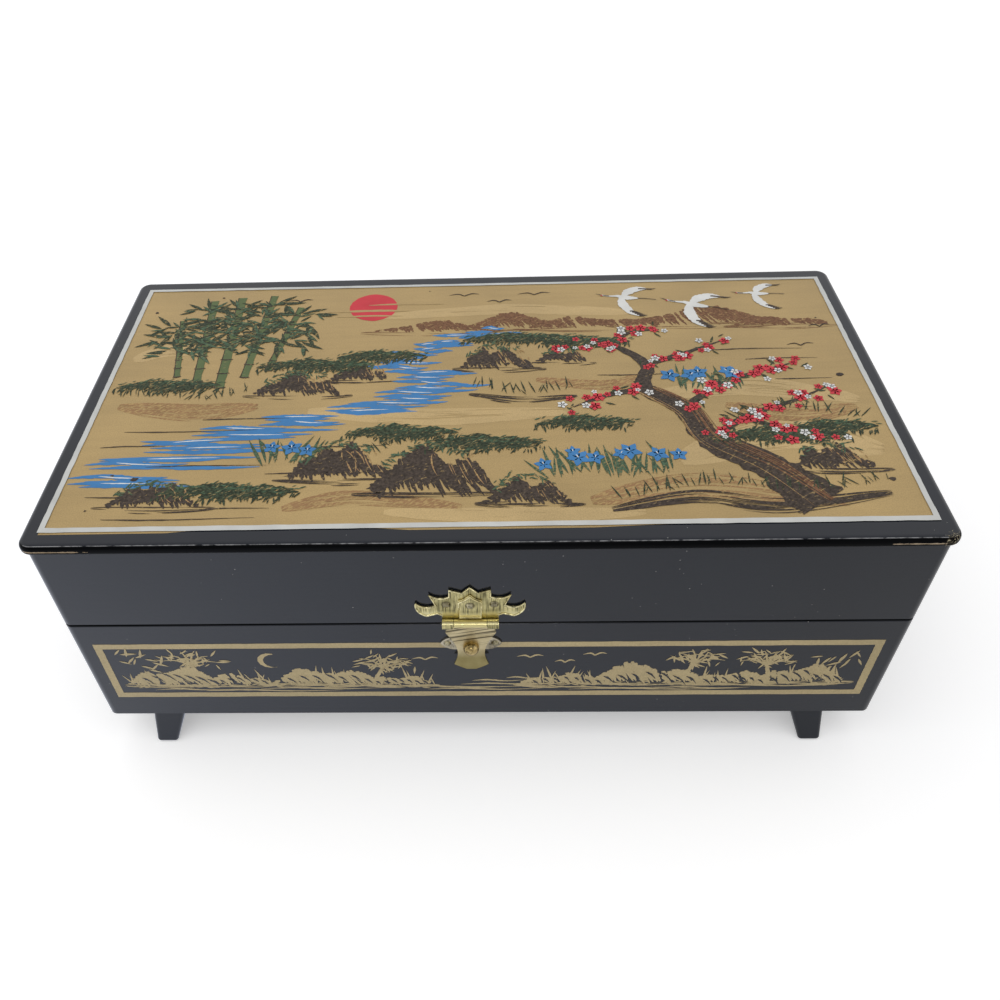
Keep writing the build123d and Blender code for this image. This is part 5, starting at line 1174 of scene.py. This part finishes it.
for place in ((58, 57, 15, 2.9), (84, 51, 17, 2.75), (110, 58, 13, 3.0)):
    crane(*place)
feathers.lay(chalk_white, on_lid(7))
tips.lay(brown_ink, on_lid(8))
crowns.lay(warm_red, on_lid(9))

# %% [markdown]
# ## The front frieze
# The front carries a gold frame with a strip of landscape in gold alone: low hills in dry brush, small trees,
# reeds, waves, a thin moon, birds, and leafy sprigs that hang from the frame at both ends.

# %% Frame and hills
FRIEZE = (-133.25, 133.25, 11.1, 42.7)
FRAME_WIDTHS = (2.7,) * 4
ring("front_gold_frame", FRIEZE, FRAME_WIDTHS, 71).lay(gold_line, on_front(2))
gilt = Paint("front_gilding", 72)
hollows = Paint("front_hollows", 76)
HILLS = ((-110, 19, 34, 12), (-88, 19, 26, 7), (-56, 19, 40, 11), (-30, 18.5, 24, 6), (28, 18.5, 32, 7),
         (56, 19, 42, 13), (86, 18.5, 28, 8), (110, 19, 32, 11))
for x, z, width, height in HILLS:
    gilt.mass((x, z), width, height, 0.45, 0.1, 1.7)
    gilt.dry_brush([(x - width * 0.55, z - 0.5), (x, z - 1.4), (x + width * 0.6, z - 0.6)], 2.4, 7, 0.7, 0.5)
    for k in range(7):
        top = x + (k / 7 - 0.42) * width * 0.8
        drop = height * hollows.random.uniform(0.25, 0.5)
        start = z + height * hollows.random.uniform(0.45, 0.7) * (1 - abs(k - 3) / 6)
        groove = [(top, start), (top + drop * 0.5, start - drop * 0.4), (top + drop * 0.9, start - drop)]
        hollows.stroke(groove, [0.1, 0.9, 0.5, 0.05], 0.4)

# %% Small trees, waves, birds and moon
FRONT_TWIGS = []


def small_tree(x, z, height, lean):
    """A leaning trunk that forks into bare twigs; the leaves are set along them later."""
    fork = Vector((x + lean, z + height * 0.55))
    gilt.stroke([(x, z), (x + lean * 0.2, z + height * 0.25), fork], [2.4, 1.6, 1.1], 0.2)
    for reach, rise in ((-9.5, 0.14), (-6.5, 0.32), (-2, 0.42), (3, 0.44), (7, 0.28), (10, 0.08)):
        tip = fork + Vector((reach, rise * height))
        twig = [fork, fork.lerp(tip, 0.5) + Vector((0, 0.08 * height)), tip]
        gilt.stroke(twig, [0.9, 0.6, 0.2], 0.2)
        FRONT_TWIGS.append(twig)


for sapling in ((-100, 20, 19, -2), (-38, 19, 17, 3), (70, 20, 18.5, 2.5), (99, 19, 18, -2)):
    small_tree(*sapling)
for x, z, length in ((-126, 17.6, 52), (-80, 16, 44), (-64, 17.8, 30), (-40, 16.8, 58), (-8, 18.2, 36),
                     (16, 15.8, 52), (34, 17.4, 30), (70, 16.6, 54), (96, 17.8, 30), (-118, 15.6, 30),
                     (-4, 20.4, 18), (8, 22, 12), (-20, 15.2, 40), (30, 14.8, 60), (-100, 14.8, 50),
                     (-16, 16.2, 20), (60, 15.4, 34)):
    gilt.stroke([(x, z), (x + length * 0.3, z + 0.5), (x + length * 0.65, z - 0.3), (x + length, z + 0.2)],
                [0.1, 0.85, 0.6, 0.1], 0.3)
for x, z, size in ((-20, 33, 4.5), (-28, 30, 3.6), (16, 34, 4.5), (28, 31, 3.5), (38, 35, 4)):
    gilt.bird(x, z, size, (0.5, 1.2, 1.4, 0.9), 0.6, 0.8)


def arc(x, z, radius, turns):
    return [(x + radius * math.cos(turn), z + radius * math.sin(turn)) for turn in turns]


gilt.patch(arc(-74, 33, 4.2, (1.2, 1.7, 2.2, 2.7, 3.2, 3.7, 4.2, 4.7, 5.2))
           + arc(-72.6, 32.7, 3.7, (4.9, 4.4, 3.9, 3.4, 2.9, 2.4, 1.9, 1.5)))
gilt.lay(gold_line, on_front(1))
hollows.lay(lacquer, on_front(3))

# %% Reeds, leaves, sprigs and foam
REEDS = [[(-126, 19), (-118, 20)], [(-84, 19), (-76, 19)], [(-66, 20), (-50, 21)], [(-26, 18.5), (-18, 18.5)],
         [(18, 18.5), (40, 19)], [(76, 19), (84, 19)], [(106, 20), (124, 20)]]
SPRIGS = [[(127, 37), (120, 34), (113, 33)], [(127, 33), (121, 29.5), (116, 28)],
          [(-127, 37), (-120, 35), (-113, 31.5)], [(-126, 33), (-121, 30), (-116, 28)]]
FOAM = [[(-126, 18), (-60, 18.5), (-20, 17.6)], [(14, 17.6), (60, 18.5), (122, 18)]]
touches("front_reeds", REEDS, BLADE, gold_line, on_front(2), 1.5, 1.2, (0.4, 0.8), UPRIGHT, 0.4, 73)
touches("front_leaves", FRONT_TWIGS, LEAF, gold_line, on_front(3), 1.05, 1.5, (0.3, 0.55), 0.0, 3.1, 77)
touches("front_sprigs", SPRIGS, LEAF, gold_line, on_front(3), 2.0, 0.8, (0.4, 0.7), 0.9, 1.0, 74)
touches("front_foam", FOAM, NEEDLE, gold_line, on_front(2), 1.6, 1.4, (0.4, 1.0), 0.0, 0.35, 75)
for touch in (LEAF, NEEDLE, BLADE, BLOSSOM, IRIS):
    bpy.data.objects.remove(touch)

# %% [markdown]
# ## Red velvet
# The two open bays are lined with red velvet: a thin stuffed pad on the floor, and a padded strip round
# the walls. Velvet is dark where one looks along the pile and pale where light grazes it, so its sheen
# does most of the work.
# A slow noise shows where a finger has turned the pile, and a very fine one is the pile itself.

# %% Velvet finish
DEEP_RED, MIDDLE_RED, PALE_RED = (0.085, 0.004, 0.008), (0.17, 0.007, 0.014), (0.25, 0.014, 0.022)


def make_velvet():
    velvet = Finish("red_velvet", Sheen_Weight=0.75, Sheen_Roughness=0.35, Sheen_Tint=(1.0, 0.30, 0.30),
                    Specular_IOR_Level=0.15)
    turned = velvet.noise(55, 4, 0.55)
    pile = velvet.noise(2600, 2, 0.6)
    tone = velvet.ramp(turned, (0.35, DEEP_RED), (0.52, MIDDLE_RED), (0.7, PALE_RED))
    velvet.set(Base_Color=velvet.times(tone, velvet.ramp(pile, (0.3, 0.6), (0.7, 1.0))))
    velvet.rough(turned, 0.8, 0.95)
    velvet.bump(pile, 0.5, 0.0004)
    return velvet.material


def velvet_piece(name, node, shape):
    """Make a padded piece from a shape, in place of a CAD node."""
    data = bpy.data.meshes.new(name)
    shape.to_mesh(data)
    shape.free()
    piece = add_piece(data, red_velvet, "case")
    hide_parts(node)


red_velvet = make_velvet()
print(red_velvet.name, "made")

# %% [markdown]
# The floor pads are crowned: the edges roll down to the floor, the sides pull in a little between
# the corners, and the middle stands highest. Each is one closed form, flat only underneath.

# %% Floor pads
PAD_STEPS = 56
PAD_PULL, PAD_ROLL, PAD_RIPPLE = 0.0007, 0.0022, 0.00025
PAD_CORNER, PAD_FILL = 0.012, 0.5


def floor_pad(name, node, crown, seed):
    low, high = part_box(node)
    middle, half = (low + high) / 2, (high - low) / 2
    dents = random.Random(seed)
    waves = [(dents.uniform(1, 4), dents.uniform(1, 4), dents.uniform(0, 6)) for _ in range(6)]
    count = PAD_STEPS
    shape = bmesh.new()
    rows = []
    for j in range(count + 1):
        row = []
        for i in range(count + 1):
            u, v = (math.sin(math.pi / 2 * (2 * k / count - 1)) for k in (i, j))
            corner = 1 - PAD_CORNER * (u * v) ** 4
            pull_x, pull_y = PAD_PULL * (1 - v**2), PAD_PULL * (1 - u**2)
            x = middle.x + u * corner * (half.x - pull_x * abs(u)**8)
            y = middle.y + v * corner * (half.y - pull_y * abs(v)**8)
            edge = min(half.x * (1 - abs(u)), half.y * (1 - abs(v))) / PAD_ROLL
            roll = math.sqrt(1 - (1 - min(edge, 1))**2)
            bulge = crown * ((1 - abs(u)**3) * (1 - abs(v)**3)) ** 0.8
            ripple = sum(math.sin(a * 3 * u + b * 3 * v + c) for a, b, c in waves) / 6 * PAD_RIPPLE
            row.append(shape.verts.new((x, y, low.z + roll * (2 * half.z + bulge + ripple))))
        rows.append(row)
    for j in range(count):
        for i in range(count):
            shape.faces.new((rows[j][i], rows[j][i + 1], rows[j + 1][i + 1], rows[j + 1][i])).smooth = True
    border = rows[0][:count] + [row[count] for row in rows[:count]]
    border += rows[count][:0:-1] + [row[0] for row in rows[:0:-1]]
    shape.faces.new(border[::-1])
    velvet_piece(name, node, shape)


floor_pad("jewel_pad", "jewel_floor_pad", 0.0022, 81)
floor_pad("ring_pad", "ring_floor_pad", 0.0016, 82)

# %% [markdown]
# The wall strip goes once round a bay. Its face swells between the corners and between its top and bottom,
# and its top edge is a soft roll. The corners are drawn tight, and shallow creases run up from the floor.

# %% Wall strips
STRIP_THICK, STRIP_STEPS = 0.0014, 44
STRIP_PROFILE = [(0.0, 0.0), (0.0, 0.55), (0.03, 0.85), (0.10, 1.0), (0.3, 1.1), (0.5, 1.12), (0.7, 1.1),
                 (0.86, 1.0), (0.94, 0.88), (0.98, 0.62), (1.0, 0.3), (1.0, 0.0)]
TIGHT, STRIP_FILL = 0.72, 0.4
CREASE_PACE, CREASE_DEPTH = 260, 0.10


def wall_strip(name, node, seed):
    low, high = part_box(node)
    creases = random.Random(seed)
    corners = [Vector(spot) for spot in ((low.x, low.y), (high.x, low.y), (high.x, high.y), (low.x, high.y))]
    tall = high.z - low.z
    shape = bmesh.new()
    columns = []
    for k in range(4):
        a, b = corners[k], corners[(k + 1) % 4]
        along = (b - a).normalized()
        inward = Vector((-along[1], along[0]))
        length = (b - a).length
        phase = creases.uniform(0, 6)
        for i in range(STRIP_STEPS):
            s = i / STRIP_STEPS
            swell = TIGHT + (1 - TIGHT) * (1 - abs(2 * s - 1)**6)
            column = []
            for up, out in STRIP_PROFILE:
                fold = max(0, math.sin(s * length * CREASE_PACE + phase + 2 * up))**6
                crease = 1 - CREASE_DEPTH * fold * (1 - up)
                depth = out * STRIP_THICK * (swell if out > 0.5 else TIGHT) * crease
                spot = a + along * (depth + s * (length - 2 * depth)) + inward * depth
                column.append(shape.verts.new((spot[0], spot[1], low.z + up * tall)))
            columns.append(column)
    for here, there in zip(columns, columns[1:] + columns[:1]):
        for j in range(len(here)):
            after = (j + 1) % len(here)
            shape.faces.new((here[j], there[j], there[after], here[after])).smooth = True
    bmesh.ops.recalc_face_normals(shape, faces=shape.faces)
    velvet_piece(name, node, shape)


wall_strip("jewel_lining", "jewel_wall_lining", 83)
wall_strip("ring_lining", "ring_wall_lining", 84)

# %% [markdown]
# ## Raised rim of the hasp
# The stamped plate has a raised bead along its outline and round the small gable in its middle.
# The outline is already in the solid plate: it is the border of its flat front faces. A copy of the plate
# gives those border edges, and a second tree of nodes runs a thin round wire along them.

# %% The rim's lines
NAIL_CLEAR, KNUCKLE_CLEAR = 0.0016, 0.00215
WELD, JOIN = 0.00001, 0.00002
FACING_FRONT = -0.999


def on_rim(point):
    """True on the plate's outline: off the nails and above the knuckles."""
    clear = all(math.hypot(point.x - x, point.z - z) > NAIL_CLEAR for x, z in NAIL_RINGS)
    return clear and point.z - HASP_AXIS.z > KNUCKLE_CLEAR


def front_borders(node, keep):
    """Border edges of a piece's flat front faces, as short lines; keep says which points count."""
    shape = bmesh.new()
    shape.from_mesh(nodes[node].data)
    bmesh.ops.remove_doubles(shape, verts=shape.verts, dist=WELD)
    shape.normal_update()
    lines = []
    for edge in shape.edges:
        fronts = [face for face in edge.link_faces if face.normal.y < FACING_FRONT]
        if len(fronts) == 1 and all(keep(v.co) for v in edge.verts):
            lines.append([tuple(v.co) for v in edge.verts])
    shape.free()
    return lines


def merged(holder):
    """Join the ends of short lines, so that they make long ones."""
    shape = bmesh.new()
    shape.from_mesh(holder.data)
    bmesh.ops.remove_doubles(shape, verts=shape.verts, dist=JOIN)
    shape.to_mesh(holder.data)
    shape.free()
    return holder


rim = merged(edges_object("hasp_rim", front_borders("hasp_plate", on_rim)))
print("edges of the rim:", len(rim.data.edges))

# %% Rim bead
BEAD_R, BEAD_SIDES = 0.00036, 8


def make_bead_tree():
    tree = Grower("bead_along_lines", Radius="Float", Sides="Int", Finish="Material")
    circle = tree.add("GeometryNodeCurvePrimitiveCircle", {
        "Resolution": tree.given("Sides"), "Radius": tree.given("Radius")})
    tree.close(tree.add("GeometryNodeCurveToMesh", {"Curve": tree.curve, "Profile Curve": circle}))
    return tree


bead = make_bead_tree().run("hasp_rim", rim, Radius=BEAD_R, Sides=BEAD_SIDES, Finish=rim_brass)
for face in bead.polygons:
    face.use_smooth = True
add_piece(bead, rim_brass, "lid")

# %% [markdown]
